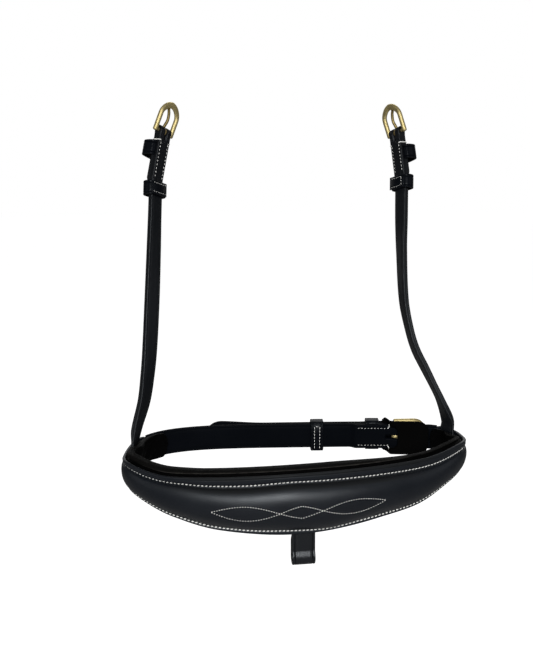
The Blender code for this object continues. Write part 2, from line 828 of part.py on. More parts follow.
def chin_span():
    return buckle_half_span(STRAP_WIDTH, CHIN_LEG_ROOM, CHIN_LEG_RADIUS)


def make_chin_buckle():
    place = chin_bar_matrix()
    make_buckle(
        "chin_buckle_frame", place, chin_span(), CHIN_BUCKLE_LENGTH, CHIN_BAR_RADIUS,
        CHIN_LEG_RADIUS, CHIN_BOW_WIDTH, CHIN_BOW_THICKNESS, CHIN_BOW_ROUND,
    )
    rest = 0.5 * CHIN_BOW_THICKNESS + CLEARANCE + CHIN_TONGUE_RADIUS
    ring = CHIN_BAR_RADIUS + CLEARANCE + 0.5 * TONGUE_RING_WALL
    billet_top = billet_out(CHIN_BAR_AT) - turned_middle() + 0.5 * STRAP_THICKNESS
    over = billet_top + CHIN_TONGUE_RADIUS
    route = [
        (0.6 * ring, 0.8 * ring),
        (1.5 * ring, 1.9 * ring),
        (2.4 * ring, 0.75 * over),
        (4.0 * ring, over),
        (0.55 * CHIN_BUCKLE_LENGTH, 0.62 * over + 0.38 * rest),
        (0.8 * CHIN_BUCKLE_LENGTH, 0.22 * over + 0.78 * rest),
        (CHIN_BUCKLE_LENGTH, rest),
        (CHIN_BUCKLE_LENGTH + 0.5 * CHIN_BOW_WIDTH + TONGUE_REACH, rest),
    ]
    make_tongue("chin_buckle_tongue", place, route, CHIN_BAR_RADIUS, CHIN_TONGUE_RADIUS)


def make_buckle_guard():
    """The tab under the chin buckle, slit so that the strap passes out through it."""
    eye = eye_radius(CHIN_BAR_RADIUS)
    half = 0.5 * GUARD_THICKNESS
    outside = half
    inside = turned_middle() - eye - CLEARANCE - half
    step_start = CHIN_BAR_AT + CHIN_LEG_RADIUS + CLEARANCE
    step_end = step_start + GUARD_STEP_LENGTH
    tab_end = step_end + GUARD_TAB_LENGTH
    tip = CHIN_BAR_AT - GUARD_REACH
    rows = []
    round_start = tip + GUARD_ROUND
    stations = [tip + share * GUARD_ROUND for share in (0.01, 0.07, 0.22, 0.50)]
    stations += ring_stations(round_start, step_start)
    stations += [step_start + share * GUARD_STEP_LENGTH for share in (0.2, 0.4, 0.6, 0.8, 1.0)]
    stations += [tab_end - 0.5 * GUARD_TAB_LENGTH, tab_end - 0.1 * GUARD_TAB_LENGTH, tab_end]
    for s in stations:
        out = inside + (outside - inside) * smooth_step((s - step_start) / GUARD_STEP_LENGTH)
        near = max(round_start - s, 0.0) / GUARD_ROUND
        width = GUARD_WIDTH - 2.0 * GUARD_ROUND * (1.0 - math.sqrt(max(1.0 - near * near, 0.0)))
        if s == tab_end:
            width = GUARD_WIDTH - 2.0 * GUARD_THICKNESS
        lift = (CHIN_BAR_AT - s) / GUARD_REACH if s < CHIN_BAR_AT else 0.0
        out += lift * lift * (0.5 * eye)
        rows.append((s, out, width, GUARD_THICKNESS))
    guard = add_object("buckle_guard", loft("buckle_guard", ring_strap(rows)), leather("buckle_guard"))
    slot_from = CHIN_BAR_AT - GUARD_SLOT_BACK
    slot_to = step_end
    slot_size = (
        STRAP_WIDTH + 2.0 * CLEARANCE,
        slot_to - slot_from,
        2.0 * (TURNED_THICKNESS + 2.0 * eye),
    )
    slot = box_mesh("guard_slot", slot_size)
    place = ring_matrix(0.5 * (slot_from + slot_to), turned_middle())
    boolean(guard, cutter("guard_slot", slot, place), "DIFFERENCE")


def rounded_rectangle(low_a, high_a, low_b, high_b, radius):
    """Twelve points round a rectangle with rounded corners."""
    points = []
    corners = (
        (high_a - radius, high_b - radius, 0.0),
        (low_a + radius, high_b - radius, 90.0),
        (low_a + radius, low_b + radius, 180.0),
        (high_a - radius, low_b + radius, 270.0),
    )
    for middle_a, middle_b, start in corners:
        for turn in (0.0, 45.0, 90.0):
            angle = math.radians(start + turn)
            points.append((middle_a + radius * math.cos(angle), middle_b + radius * math.sin(angle)))
    return points


def make_keeper(name, place, low_a, high_a, low_b, high_b, band):
    """A leather loop round a strap: X across it, Y along it, Z outwards."""
    inner = rounded_rectangle(low_a, high_a, low_b, high_b, KEEPER_CORNER)
    wall = KEEPER_LEATHER
    outer = rounded_rectangle(low_a - wall, high_a + wall, low_b - wall, high_b + wall, KEEPER_CORNER + wall)
    soft = 0.25 * wall
    edge = rounded_rectangle(
        low_a - wall + soft, high_a + wall - soft, low_b - wall + soft, high_b + wall - soft,
        KEEPER_CORNER + wall - soft,
    )
    half = 0.5 * band
    loops = []
    for i in range(len(inner)):
        loops.append([
            Vector((inner[i][0], -half, inner[i][1])),
            Vector((edge[i][0], -half, edge[i][1])),
            Vector((outer[i][0], -half + soft, outer[i][1])),
            Vector((outer[i][0], half - soft, outer[i][1])),
            Vector((edge[i][0], half, edge[i][1])),
            Vector((inner[i][0], half, inner[i][1])),
        ])
    return add_object(name, closed_loft(name, loops), leather(name), place)


def make_chin_keepers():
    half = 0.5 * STRAP_WIDTH + KEEPER_ROOM
    out = turned_middle()
    top = billet_out(CHIN_KEEPER_AT - 0.5 * CHIN_KEEPER_BAND) + 0.5 * STRAP_THICKNESS - out
    make_keeper(
        "chin_fixed_keeper", ring_matrix(CHIN_KEEPER_AT, out),
        -half, half, 0.5 * KEEPER_LEATHER, top + 2.0 * CLEARANCE, CHIN_KEEPER_BAND,
    )
    run = ring_matrix(CHIN_RUNNER_AT, 0.0)
    make_keeper(
        "chin_runner_keeper", run, -half, half,
        -STRAP_THICKNESS - 3.0 * CLEARANCE, STRAP_THICKNESS + 3.0 * CLEARANCE, CHIN_RUNNER_BAND,
    )


def make_flash_loop():
    """The loop for a flash strap, sewn behind the bottom flange at the middle of the front."""
    bottom = front_bottom(0.0)
    lean = front_lean(0.0, 0.0)
    front = lean - CLEARANCE
    t = LOOP_LEATHER
    gap = LOOP_ROOM
    face = front + LOOP_BULGE
    floor = bottom - LOOP_DROP
    turn = 0.5 * gap + t
    middle_out = face - turn
    outer = [
        (front, bottom + LOOP_TAB),
        (front, bottom),
        (face, bottom - 0.30 * LOOP_DROP),
        (face, bottom - 0.30 * LOOP_DROP - LOOP_FLAT),
    ]
    for angle in (0.0, 30.0, 60.0, 90.0, 120.0, 150.0, 180.0):
        a = math.radians(angle)
        outer.append((middle_out + turn * math.cos(a), floor + turn - turn * math.sin(a)))
    outer += [
        (middle_out - turn, bottom - 0.34 * LOOP_DROP),
        (front - 2.0 * t, bottom - CLEARANCE),
        (front - 2.0 * t, bottom + LOOP_TAB),
    ]
    inner = [
        (front - t, bottom - t),
        (face - t, bottom - 0.30 * LOOP_DROP - 0.3 * t),
        (face - t, bottom - 0.30 * LOOP_DROP - LOOP_FLAT),
    ]
    for angle in (0.0, 45.0, 90.0, 135.0, 180.0):
        a = math.radians(angle)
        inner.append((middle_out + 0.5 * gap * math.cos(a), floor + turn - 0.5 * gap * math.sin(a)))
    inner.append((middle_out - 0.5 * gap, bottom - 0.36 * LOOP_DROP - 0.3 * t))
    point, along, outward = ring_frame(LOOP_AT)
    half = 0.5 * LOOP_WIDTH
    bm = bmesh.new()
    ends = []
    for side in (-half, half):
        base = point + along * side
        rings = []
        for outline in (outer, inner):
            rings.append([bm.verts.new(base + outward * out + Vector((0.0, 0.0, up))) for out, up in outline])
        ends.append(rings)
    for which in (0, 1):
        count = len(ends[0][which])
        for i in range(count):
            j = (i + 1) % count
            bm.faces.new((ends[0][which][i], ends[0][which][j], ends[1][which][j], ends[1][which][i]))
    for rings in ends:
        edges = []
        for ring in rings:
            for i in range(len(ring)):
                pair = (ring[i], ring[(i + 1) % len(ring)])
                edges.append(bm.edges.get(pair))
        bmesh.ops.triangle_fill(bm, use_beauty=True, use_dissolve=False, edges=edges)
    add_object("flash_loop", mesh_from("flash_loop", bm), leather("flash_loop"))


class CheekStrap:
    """One cheek strap: where it runs, which way its face turns and what it carries."""

    def __init__(self, side, route, turns, root_at, length, turned_length, fixed_drop, runner_drop):
        self.side = side
        self.root_at = root_at
        self.length = length
        self.turned_length = turned_length
        self.fixed_drop = fixed_drop
        self.runner_drop = runner_drop
        self.name = "right" if side > 0.0 else "left"
        self.heights = [row[0] for row in route]
        self.runs = [row[1] for row in route]
        self.turn_places = [row[0] for row in turns]
        self.turn_values = [row[1] for row in turns]
        self.lean = math.radians(CHEEK_LEAN_DEG)
        self.out = -CLEARANCE - CHEEK_ROOT_INSET - 0.5 * CHEEK_ROOT_THICKNESS
        self.root = on_ring(side * root_at, self.out, CHEEK_ROOT_LEVEL)

    def middle(self, height):
        """Middle of the strap at a height above its root, measured up the lean."""
        if height <= 0.0:
            back = height * math.sin(self.lean)
            s = self.side * (self.root_at + back)
            return on_ring(s, self.out, CHEEK_ROOT_LEVEL + height * math.cos(self.lean))
        sideways = self.length * curve_through(height / self.length, self.heights, self.runs)
        rise = height * math.cos(self.lean)
        back = height * math.sin(self.lean)
        return self.root + Vector((sideways, back, rise))

    def frame(self, height):
        """Matrix at a height: X across the strap, Y up it, Z out of its outer face."""
        step = 0.02 * CHEEK_STATION
        above = min(height + step, self.length)
        along = (self.middle(above) - self.middle(height - step)).normalized()
        if height <= 0.0:
            back = height * math.sin(self.lean)
            outward = ring_frame(self.side * (self.root_at + back))[2]
        else:
            share = height / self.length
            root_out = ring_frame(self.side * self.root_at)[2]
            root_turn = math.degrees(math.atan2(root_out.y, abs(root_out.x)))
            turns = [root_turn] + self.turn_values[1:]
            turn = math.radians(curve_through(share, self.turn_places, turns))
            outward = Vector((self.side * math.cos(turn), math.sin(turn), 0.0))
        outward = (outward - along * outward.dot(along)).normalized()
        across = along.cross(outward)
        rotation = Matrix((across, along, outward)).transposed().to_4x4()
        return Matrix.Translation(self.middle(height)) @ rotation

    def top(self):
        return self.frame(self.length)

    def buckle_place(self):
        """Place of the buckle: X along its bar, Y towards its bow, leaning in over the nose."""
        return self.top() @ Matrix.Rotation(-math.radians(CHEEK_BUCKLE_LEAN_DEG), 4, "X")

    def below_bar(self, drop):
        return self.top() @ Matrix.Translation((0.0, -drop, 0.0))

    def runner_place(self):
        """Place of the runner keeper on the straight run of the strap below its turned end."""
        high = self.frame(self.length - self.runner_drop)
        low = self.middle(self.length - self.runner_drop - CHEEK_RUNNER_TRAVEL)
        along = (high.translation - low).normalized()
        outward = high.col[2].to_3d()
        outward = (outward - along * outward.dot(along)).normalized()
        rotation = Matrix((along.cross(outward), along, outward)).transposed().to_4x4()
        return Matrix.Translation(high.translation) @ rotation

    def section(self, height, thick):
        place = self.frame(height)
        across = place.col[0].to_3d()
        outward = place.col[2].to_3d()
        half = 0.5 * CHEEK_WIDTH
        return strap_section(place.translation, across, outward, half, 0.5 * thick, CHEEK_BEVEL)

    def make_strap(self):
        eye = eye_radius(CHEEK_BAR_RADIUS)
        turned = self.length - self.turned_length
        skived = turned - SKIVE_LENGTH
        loops = []
        for height in even_stations(-CHEEK_ROOT_DEPTH, skived, CHEEK_STATION):
            share = smooth_step(height / CHEEK_SKIVE)
            thick = CHEEK_ROOT_THICKNESS + (CHEEK_THICKNESS - CHEEK_ROOT_THICKNESS) * share
            loops.append(self.section(height, thick))
        straight = self.top()
        across = straight.col[0].to_3d()
        outward = straight.col[2].to_3d()
        upper = [(-self.turned_length, CHEEK_TURNED_THICKNESS), (-2.0 * eye, CHEEK_TURNED_THICKNESS)]
        upper += eye_rows(eye, CHEEK_TURNED_THICKNESS)
        for past, thick in upper:
            middle = straight @ Vector((0.0, past, 0.0))
            half = 0.5 * CHEEK_WIDTH
            loops.append(strap_section(middle, across, outward, half, 0.5 * thick, CHEEK_BEVEL))
        name = "cheek_strap_" + self.name
        strap = add_object(name, loft(name, loops), leather(name))
        turn = Matrix.Rotation(0.5 * math.pi, 4, "Y")
        hole_length = CHEEK_WIDTH + 2.0 * CUT_OVERRUN
        hole = cylinder_mesh("bar_hole", CHEEK_BAR_RADIUS + CLEARANCE, hole_length, 20)
        boolean(strap, cutter("bar_hole_" + self.name, hole, straight @ turn), "DIFFERENCE")
        slot_width = TONGUE_RING_WIDTH + 2.0 * SLOT_ROOM
        slot_length = CREW_SLOT_LENGTH + eye + CUT_OVERRUN
        slot = box_mesh("crew_slot", (slot_width, slot_length, 2.0 * eye + CUT_OVERRUN))
        middle = Matrix.Translation((0.0, 0.5 * slot_length - CREW_SLOT_LENGTH, 0.0))
        boolean(strap, cutter("crew_slot_" + self.name, slot, straight @ middle), "DIFFERENCE")
        slit_size = (
            CHEEK_WIDTH + 2.0 * CUT_OVERRUN,
            CHEEK_FIXED_BAND + 2.0 * CLEARANCE,
            KEEPER_LEATHER + 2.0 * CLEARANCE,
        )
        slit = box_mesh("keeper_slit", slit_size)
        boolean(strap, cutter("keeper_slit_" + self.name, slit, self.below_bar(self.fixed_drop)), "DIFFERENCE")

    def make_keepers(self):
        half = 0.5 * CHEEK_WIDTH + CHEEK_SIDE_ROOM
        top = 0.5 * CHEEK_TURNED_THICKNESS + CHEEK_KEEPER_OPENING
        make_keeper(
            "cheek_fixed_keeper_" + self.name, self.below_bar(self.fixed_drop),
            -half, half, 0.5 * KEEPER_LEATHER, top, CHEEK_FIXED_BAND,
        )
        low = -0.5 * CHEEK_THICKNESS - CHEEK_RUNNER_ROOM
        make_keeper(
            "cheek_runner_keeper_" + self.name, self.runner_place(),
            -half, half, low, low + CHEEK_KEEPER_OPENING + CHEEK_RUNNER_ROOM, CHEEK_RUNNER_BAND,
        )

    def make_buckle(self):
        place = self.buckle_place()
        span = buckle_half_span(CHEEK_WIDTH, CHEEK_LEG_ROOM, CHEEK_LEG_RADIUS)
        make_buckle(
            "cheek_buckle_frame_" + self.name, place, span, CHEEK_BUCKLE_LENGTH, CHEEK_BAR_RADIUS,
            CHEEK_LEG_RADIUS, CHEEK_BOW_WIDTH, CHEEK_BOW_THICKNESS, span,
        )
        rest = 0.5 * CHEEK_BOW_THICKNESS + CLEARANCE + CHEEK_TONGUE_RADIUS
        ring = CHEEK_BAR_RADIUS + CLEARANCE + 0.5 * TONGUE_RING_WALL
        route = [
            (0.6 * ring, 0.6 * ring),
            (2.0 * ring, 0.9 * ring),
            (0.5 * CHEEK_BUCKLE_LENGTH, 0.5 * ring + 0.5 * rest),
            (CHEEK_BUCKLE_LENGTH - 0.5 * CHEEK_BOW_WIDTH, rest),
            (CHEEK_BUCKLE_LENGTH + 0.5 * CHEEK_BOW_WIDTH, rest),
            (CHEEK_BUCKLE_LENGTH + 0.5 * CHEEK_BOW_WIDTH + TONGUE_REACH, rest),
        ]
        make_tongue(
            "cheek_buckle_tongue_" + self.name, place, route, CHEEK_BAR_RADIUS, CHEEK_TONGUE_RADIUS
        )


def main():
    clear_scene()
    make_front_leather()
    make_front_filling()
    make_lining_pad()
    make_buckle_strap()
    make_billet_strap()
    make_chin_buckle()
    make_buckle_guard()
    make_chin_keepers()
    make_flash_loop()
    for strap in (
        CheekStrap(
            -1.0, LEFT_ROUTE_SHARES, LEFT_TURNS,
            CHEEK_LEFT_ROOT_AT, CHEEK_LEFT_LENGTH, CHEEK_LEFT_TURNED_LENGTH,
            CHEEK_LEFT_FIXED_DROP, CHEEK_LEFT_RUNNER_DROP,
        ),
        CheekStrap(
            1.0, RIGHT_ROUTE_SHARES, RIGHT_TURNS,
            CHEEK_RIGHT_ROOT_AT, CHEEK_RIGHT_LENGTH, CHEEK_RIGHT_TURNED_LENGTH,
            CHEEK_RIGHT_FIXED_DROP, CHEEK_RIGHT_RUNNER_DROP,
        ),
    ):
        strap.make_strap()
        strap.make_keepers()
        strap.make_buckle()


main()
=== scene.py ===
"""Looks of the padded noseband: bridle leather, white thread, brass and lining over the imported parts.

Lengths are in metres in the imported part's frame: X to the viewer's right, Y from the nose to the chin and Z
up. s is a place on the line round the nose, counted from the middle of the front.
"""

import math

import bmesh
import bpy
import numpy as np
from mathutils import Matrix, Vector, noise


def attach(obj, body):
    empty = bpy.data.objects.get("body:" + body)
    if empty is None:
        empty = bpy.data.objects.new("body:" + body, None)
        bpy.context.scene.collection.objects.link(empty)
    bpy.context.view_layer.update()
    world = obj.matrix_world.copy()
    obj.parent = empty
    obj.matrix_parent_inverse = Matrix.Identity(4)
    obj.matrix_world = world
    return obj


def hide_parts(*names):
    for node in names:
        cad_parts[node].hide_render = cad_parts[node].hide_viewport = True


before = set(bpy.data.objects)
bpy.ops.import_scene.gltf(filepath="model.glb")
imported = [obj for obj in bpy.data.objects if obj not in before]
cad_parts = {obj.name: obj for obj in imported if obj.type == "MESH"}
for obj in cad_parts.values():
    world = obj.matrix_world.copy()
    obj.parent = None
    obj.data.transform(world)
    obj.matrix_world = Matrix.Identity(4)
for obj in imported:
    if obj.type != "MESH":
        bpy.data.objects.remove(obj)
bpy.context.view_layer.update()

UP = Vector((0.0, 0.0, 1.0))


# Camera, lamps, room and floor

LENS_MM = 43.92
SENSOR_MM = 36.0
NEAR_CLIP = 0.01
CAMERA_PLACE = (-0.03204, -0.60271, 0.24127)
CAMERA_RIGHT = (0.99984, -0.01569, -0.00869)
CAMERA_FORWARD = (0.01332, 0.97401, -0.22612)

# Each lamp's place, what it aims at, its width and height, and its power in watts
LAMPS = {
    "key_from_above": ((-0.02, -1.12, 0.52), (0.0, 0.0, 0.0), (0.60, 0.28), 14.0),
    "fill_left": ((-1.1, -0.35, 0.35), (0.0, 0.0, 0.1), (0.5, 0.9), 1.1),
    "fill_right": ((1.1, -0.25, 0.45), (0.0, 0.0, 0.1), (0.5, 0.9), 1.1),
    "fill_behind": ((0.10, 0.85, 1.20), (0.0, 0.0, 0.05), (0.9, 0.5), 6.5),
}
FLOOR_LEVEL = -0.30
FLOOR_REACH = 6.0
WHITE = (1.0, 1.0, 1.0, 1.0)


def add_to_scene(name, data):
    made = bpy.data.objects.new(name, data)
    bpy.context.scene.collection.objects.link(made)
    return made


def axes_at(place, along, outward):
    """Matrix at a place: Y along, Z outwards and X across them."""
    rotation = Matrix((along.cross(outward), along, outward)).transposed().to_4x4()
    return Matrix.Translation(place) @ rotation


def place_camera():
    lens = bpy.data.cameras.new("photo_view")
    lens.lens = LENS_MM
    lens.sensor_width = SENSOR_MM
    lens.clip_start = NEAR_CLIP
    camera = add_to_scene("photo_view", lens)
    forward = Vector(CAMERA_FORWARD).normalized()
    up = Vector(CAMERA_RIGHT).cross(forward).normalized()
    camera.matrix_world = axes_at(Vector(CAMERA_PLACE), up, -forward)
    bpy.context.scene.camera = camera


def soft_light(name, place, aim, size, power):
    lamp = bpy.data.lights.new(name, "AREA")
    lamp.shape = "RECTANGLE"
    lamp.size, lamp.size_y = size
    lamp.energy = power
    thing = add_to_scene(name, lamp)
    thing.location = place
    thing.rotation_euler = (Vector(aim) - Vector(place)).to_track_quat("-Z", "Y").to_euler()


def light_room():
    """White to the camera. What the leather and brass mirror is a dim room with a brighter wall behind."""
    world = bpy.data.worlds.new("studio")
    bpy.context.scene.world = world
    sky = Recipe(world, "Background", Color=WHITE)
    rays = sky.node("ShaderNodeLightPath").socket.node.outputs
    east, north, up = sky.split(sky.node("ShaderNodeTexCoord", out="Generated"))
    backdrop = north.ramp(0.55, 0.95)
    seen = [Wire(sky, rays[name]) for name in ("Is Camera Ray", "Is Glossy Ray", "Is Transmission Ray")]
    white = seen[0].math("MAXIMUM", seen[1].math("MAXIMUM", seen[2]) * backdrop)
    room = up.ramp(-0.4, 0.2, 0.10, 0.26) * up.ramp(0.30, 0.80, 1.0, 0.08)
    room = room * abs(east).ramp(0.55, 0.90, 1.0, 0.30) + backdrop * 0.25
    sky.feed(Strength=white.math("MAXIMUM", room))


def lay_floor():
    """White paper to the camera and grey to the light."""
    mesh = bpy.data.meshes.new("floor")
    corners = [(-1.0, -1.0), (1.0, -1.0), (1.0, 1.0), (-1.0, 1.0)]
    mesh.from_pydata([(FLOOR_REACH * x, FLOOR_REACH * y, FLOOR_LEVEL) for x, y in corners], [], [(0, 1, 2, 3)])
    floor = add_to_scene("floor", mesh)
    paper = finish("floor_paper", Roughness=0.9, Base_Color=(0.36, 0.36, 0.36, 1.0), Emission_Color=WHITE)
    paper.feed(Emission_Strength=paper.node("ShaderNodeLightPath", out="Is Camera Ray") * 0.95)
    mesh.materials.append(paper.owner)


def set_the_stage():
    for name, values in LAMPS.items():
        soft_light(name, *values)
    light_room()
    lay_floor()
    bpy.context.scene.view_settings.view_transform = "Standard"


# Shader recipes

class Wire:
    """One output of a shader node. Sums on it add Math nodes to its recipe."""

    def __init__(self, recipe, socket):
        self.recipe = recipe
        self.socket = socket

    def math(self, operation, *others, clamp=False):
        settings = {"operation": operation, "use_clamp": clamp}
        return self.recipe.node("ShaderNodeMath", settings, dict(enumerate((self,) + others)))

    def __add__(self, other):
        return self.math("ADD", other)

    __radd__ = __add__

    def __sub__(self, other):
        return self.math("SUBTRACT", other)

    def __mul__(self, other):
        return self.math("MULTIPLY", other)

    __rmul__ = __mul__

    def __abs__(self):
        return self.math("ABSOLUTE")

    def clamped(self):
        return self.math("ADD", 0.0, clamp=True)

    def ramp(self, low, high, start=0.0, end=1.0):
        settings = {"interpolation_type": "SMOOTHSTEP"}
        values = {"Value": self, "From Min": low, "From Max": high, "To Min": start, "To Max": end}
        return self.recipe.node("ShaderNodeMapRange", settings, values)

    def ridge(self, middle, width):
        """1 on a line where the value is middle, 0 further from it than width."""
        return abs(self - middle).ramp(0.0, width, 1.0, 0.0)


class Recipe:
    """The nodes that feed one shader, of a material or of the room."""

    def __init__(self, owner, shader, **plain):
        owner.use_nodes = True
        self.owner = owner
        self.nodes = owner.node_tree.nodes
        self.links = owner.node_tree.links
        self.shader = self.nodes[shader]
        for socket, value in plain.items():
            self.shader.inputs[socket.replace("_", " ")].default_value = value

    def node(self, kind, settings=None, values=None, out=0):
        made = self.nodes.new(kind)
        for key, value in (settings or {}).items():
            setattr(made, key, value)
        for key, value in (values or {}).items():
            if isinstance(value, Wire):
                self.links.new(value.socket, made.inputs[key])
            else:
                made.inputs[key].default_value = value
        return Wire(self, made.outputs[out])

    def feed(self, **wires):
        for socket, wire in wires.items():
            self.links.new(wire.socket, self.shader.inputs[socket.replace("_", " ")])

    def place(self):
        return self.node("ShaderNodeTexCoord", out="Object")

    def noise(self, scale, detail=3.0, roughness=0.55, place=None, distortion=0.0):
        values = {"Scale": scale, "Detail": detail, "Roughness": roughness, "Distortion": distortion}
        values["Vector"] = place or self.place()
        return self.node("ShaderNodeTexNoise", None, values)

    def cells(self, scale, feature="F1"):
        values = {"Scale": scale, "Vector": self.place()}
        return self.node("ShaderNodeTexVoronoi", {"feature": feature}, values, "Distance")

    def stretched(self, scale):
        place = self.place()
        return self.node("ShaderNodeMapping", {"vector_type": "POINT"}, {"Vector": place, "Scale": scale})

    def split(self, vector):
        parts = self.node("ShaderNodeSeparateXYZ", None, {0: vector}).socket.node
        return [Wire(self, socket) for socket in parts.outputs]

    def skin(self):
        """Place on the piece's own surface in metres: along it and across it."""
        return self.split(self.node("ShaderNodeUVMap", {"uv_map": "UVMap"}))[:2]

    def facing_out(self):
        """Above 0 on faces that look away from the middle of the noseband, below 0 on those that look in."""
        normal = self.node("ShaderNodeNewGeometry", out="Normal")
        places = {0: self.place(), 1: (1.0, 1.0, 0.0)}
        level = self.node("ShaderNodeVectorMath", {"operation": "MULTIPLY"}, places)
        return self.node("ShaderNodeVectorMath", {"operation": "DOT_PRODUCT"}, {0: normal, 1: level}, "Value")

    def mix(self, share, first, second):
        values = {0: share, 6: first, 7: second}
        return self.node("ShaderNodeMix", {"data_type": "RGBA"}, values, 2)

    def bump(self, height, distance):
        return self.node("ShaderNodeBump", None, {"Height": height, "Distance": distance, "Strength": 1.0})


INK = (0.0026, 0.0036, 0.0058)
SLATE = (0.0075, 0.0092, 0.0130)
# Near black, mixed into the pressed crease lines and, as painted shade, into the front's shade bands
GROOVE = (0.0008, 0.0010, 0.0013, 1.0)

# Full height of each surface's relief
LEATHER_RELIEF = 0.0001
LINING_RELIEF = 0.00016
NAP_RELIEF = 0.00025
THREAD_RELIEF = 0.00005
BRASS_RELIEF = 0.00004


def finish(name, **plain):
    return Recipe(bpy.data.materials.new(name), "Principled BSDF", **plain)


def dyed(colour, depth):
    return tuple(depth * c for c in colour) + (1.0,)


def leather_recipe(name, depth, rough_level, shine, grain, lines=(), shade_bands=(), outer_polish=0.0):
    """Dyed bridle leather: fine pores, soft creases, slow changes of tone, darker crease lines and edges, and
    bands of painted shade.

    lines are (middle, width, depth) of creases pressed along the piece, by distance across it.
    Bands given as (start, end, reach), across and along the piece, are painted shade.
    outer_polish is for a strap whose grain side is polished and whose inner side is left matte.
    """
    made = finish(name, Specular_IOR_Level=shine, Specular_Tint=(0.91, 0.96, 1.0, 1.0), Coat_Roughness=0.34)
    cloud = made.noise(28.0, 4.0, 0.6)
    blotch = made.noise(9.0, 2.0)
    fine = made.noise(2600.0, 2.0)
    pores = made.cells(1150.0)
    folds = made.cells(640.0, "DISTANCE_TO_EDGE")
    tone = (cloud * 0.7 + blotch * 0.5 + fine * 0.15 - 0.25).clamped()
    along, across = made.skin()
    height = pores.ramp(0.0, 0.55) * 0.35 + folds.ramp(0.0, 0.12) * 0.24 + fine * 0.25
    height = height * grain + cloud * 3.0
    crease_and_edge_dark = None
    for middle, width, press in lines:
        groove = abs(across).ridge(middle, width)
        height = height - groove * press
        crease_and_edge_dark = groove if crease_and_edge_dark is None else (crease_and_edge_dark + groove)
    colour = made.mix(tone, dyed(INK, depth), dyed(SLATE, depth))
    rough = cloud * 0.26 + fine * 0.10 + (rough_level - 0.17)
    # Darker and rougher on the pressed crease lines and on the edges
    if crease_and_edge_dark is not None:
        colour = made.mix((crease_and_edge_dark * 0.55).clamped(), colour, GROOVE)
        rough = rough + crease_and_edge_dark * 0.12
    # Painted shade: each band is darkened towards GROOVE and made rougher
    for start, end, reach in shade_bands:
        painted_shade = across.ramp(start - 0.0006, start + 0.0006) * across.ramp(end + 0.0010, end - 0.0010)
        painted_shade = painted_shade * abs(along).ramp(reach + 0.035, reach - 0.035)
        colour = made.mix(painted_shade * 0.92, colour, GROOVE)
        rough = rough + painted_shade * 0.30
    made.feed(Base_Color=colour, Roughness=rough.clamped(), Normal=made.bump(height, LEATHER_RELIEF))
    if outer_polish:
        made.feed(Coat_Weight=made.facing_out().ramp(0.075, 0.100) * (cloud * 0.4 + 0.8) * outer_polish)
    return made.owner


def lining_recipe():
    """Soft lining leather: matte, with close wrinkles; the roll has a painted highlight band, and below the roll
    and on the inner face it is painted near black as shade.
    """
    made = finish("lining_finish", Specular_IOR_Level=0.03)
    cloud = made.noise(40.0, 4.0)
    fine = made.noise(2200.0, 3.0)
    web = made.cells(700.0, "DISTANCE_TO_EDGE")
    wrinkle = made.noise(1.0, 5.0, 0.6, made.stretched((160.0, 160.0, 420.0)), 0.6)
    along, below = made.skin()
    above = below * -1.0
    roll = above.ramp(0.0006, 0.0018)
    lit = roll * above.ridge(0.0018, 0.0010) * abs(along + 0.02).ramp(0.115, 0.070)
    tone = (cloud * 0.9 + fine * 0.2 + wrinkle * 0.4 - 0.3).clamped()
    # Painted shade: below the roll, the inner face included, the lining is near black; the roll keeps its own
    # greyer tone
    inside = made.mix(tone, (0.0003, 0.0003, 0.0003, 1.0), (0.0010, 0.0010, 0.0011, 1.0))
    outside = made.mix(tone, (0.0018, 0.0018, 0.0017, 1.0), (0.0048, 0.0046, 0.0042, 1.0))
    colour = made.mix(roll, inside, outside)
    # Painted highlight: a light band along the roll just above the leather, broken by the wrinkles
    colour = made.mix(lit * (wrinkle * 1.8 - 0.3).clamped(), colour, (0.060, 0.057, 0.052, 1.0))
    height = web.ramp(0.0, 0.12) * 0.6 + fine * 0.4 + wrinkle * 1.6
    relief = made.bump(height, LINING_RELIEF)
    made.feed(Base_Color=colour, Roughness=(cloud * 0.15 + 0.50).clamped(), Normal=relief)
    return made.owner


def guard_recipe():
    """Rough side of the hide, brushed matte."""
    made = finish("guard_finish", Specular_IOR_Level=0.02)
    cloud = made.noise(55.0, 5.0, 0.65)
    nap = made.noise(1500.0, 3.0, 0.7)
    tone = (cloud * 0.6 + nap * 0.6 - 0.1).clamped()
    colour = made.mix(tone, (0.0006, 0.0006, 0.0006, 1.0), (0.0026, 0.0025, 0.0024, 1.0))
    relief = made.bump(nap + cloud, NAP_RELIEF)
    made.feed(Base_Color=colour, Roughness=(nap * 0.15 + 0.74).clamped(), Normal=relief)
    return made.owner


def thread_recipe(name, shade):
    """Waxed twisted thread."""
    made = finish(name, Specular_IOR_Level=0.4, Sheen_Weight=0.1)
    along, around = made.skin()
    twist = (along * 7.0 + around * 2.0) * (2.0 * math.pi)
    strand = twist.math("SINE") * 0.5 + 0.5
    dust = made.noise(300.0, 3.0)
    darker = tuple(0.62 * c for c in shade[:3]) + (1.0,)
    colour = made.mix((strand * 0.7 + dust * 0.45).clamped(), darker, shade)
    relief = made.bump(strand, THREAD_RELIEF)
    made.feed(Base_Color=colour, Roughness=(strand * -0.1 + 0.62).clamped(), Normal=relief)
    return made.owner


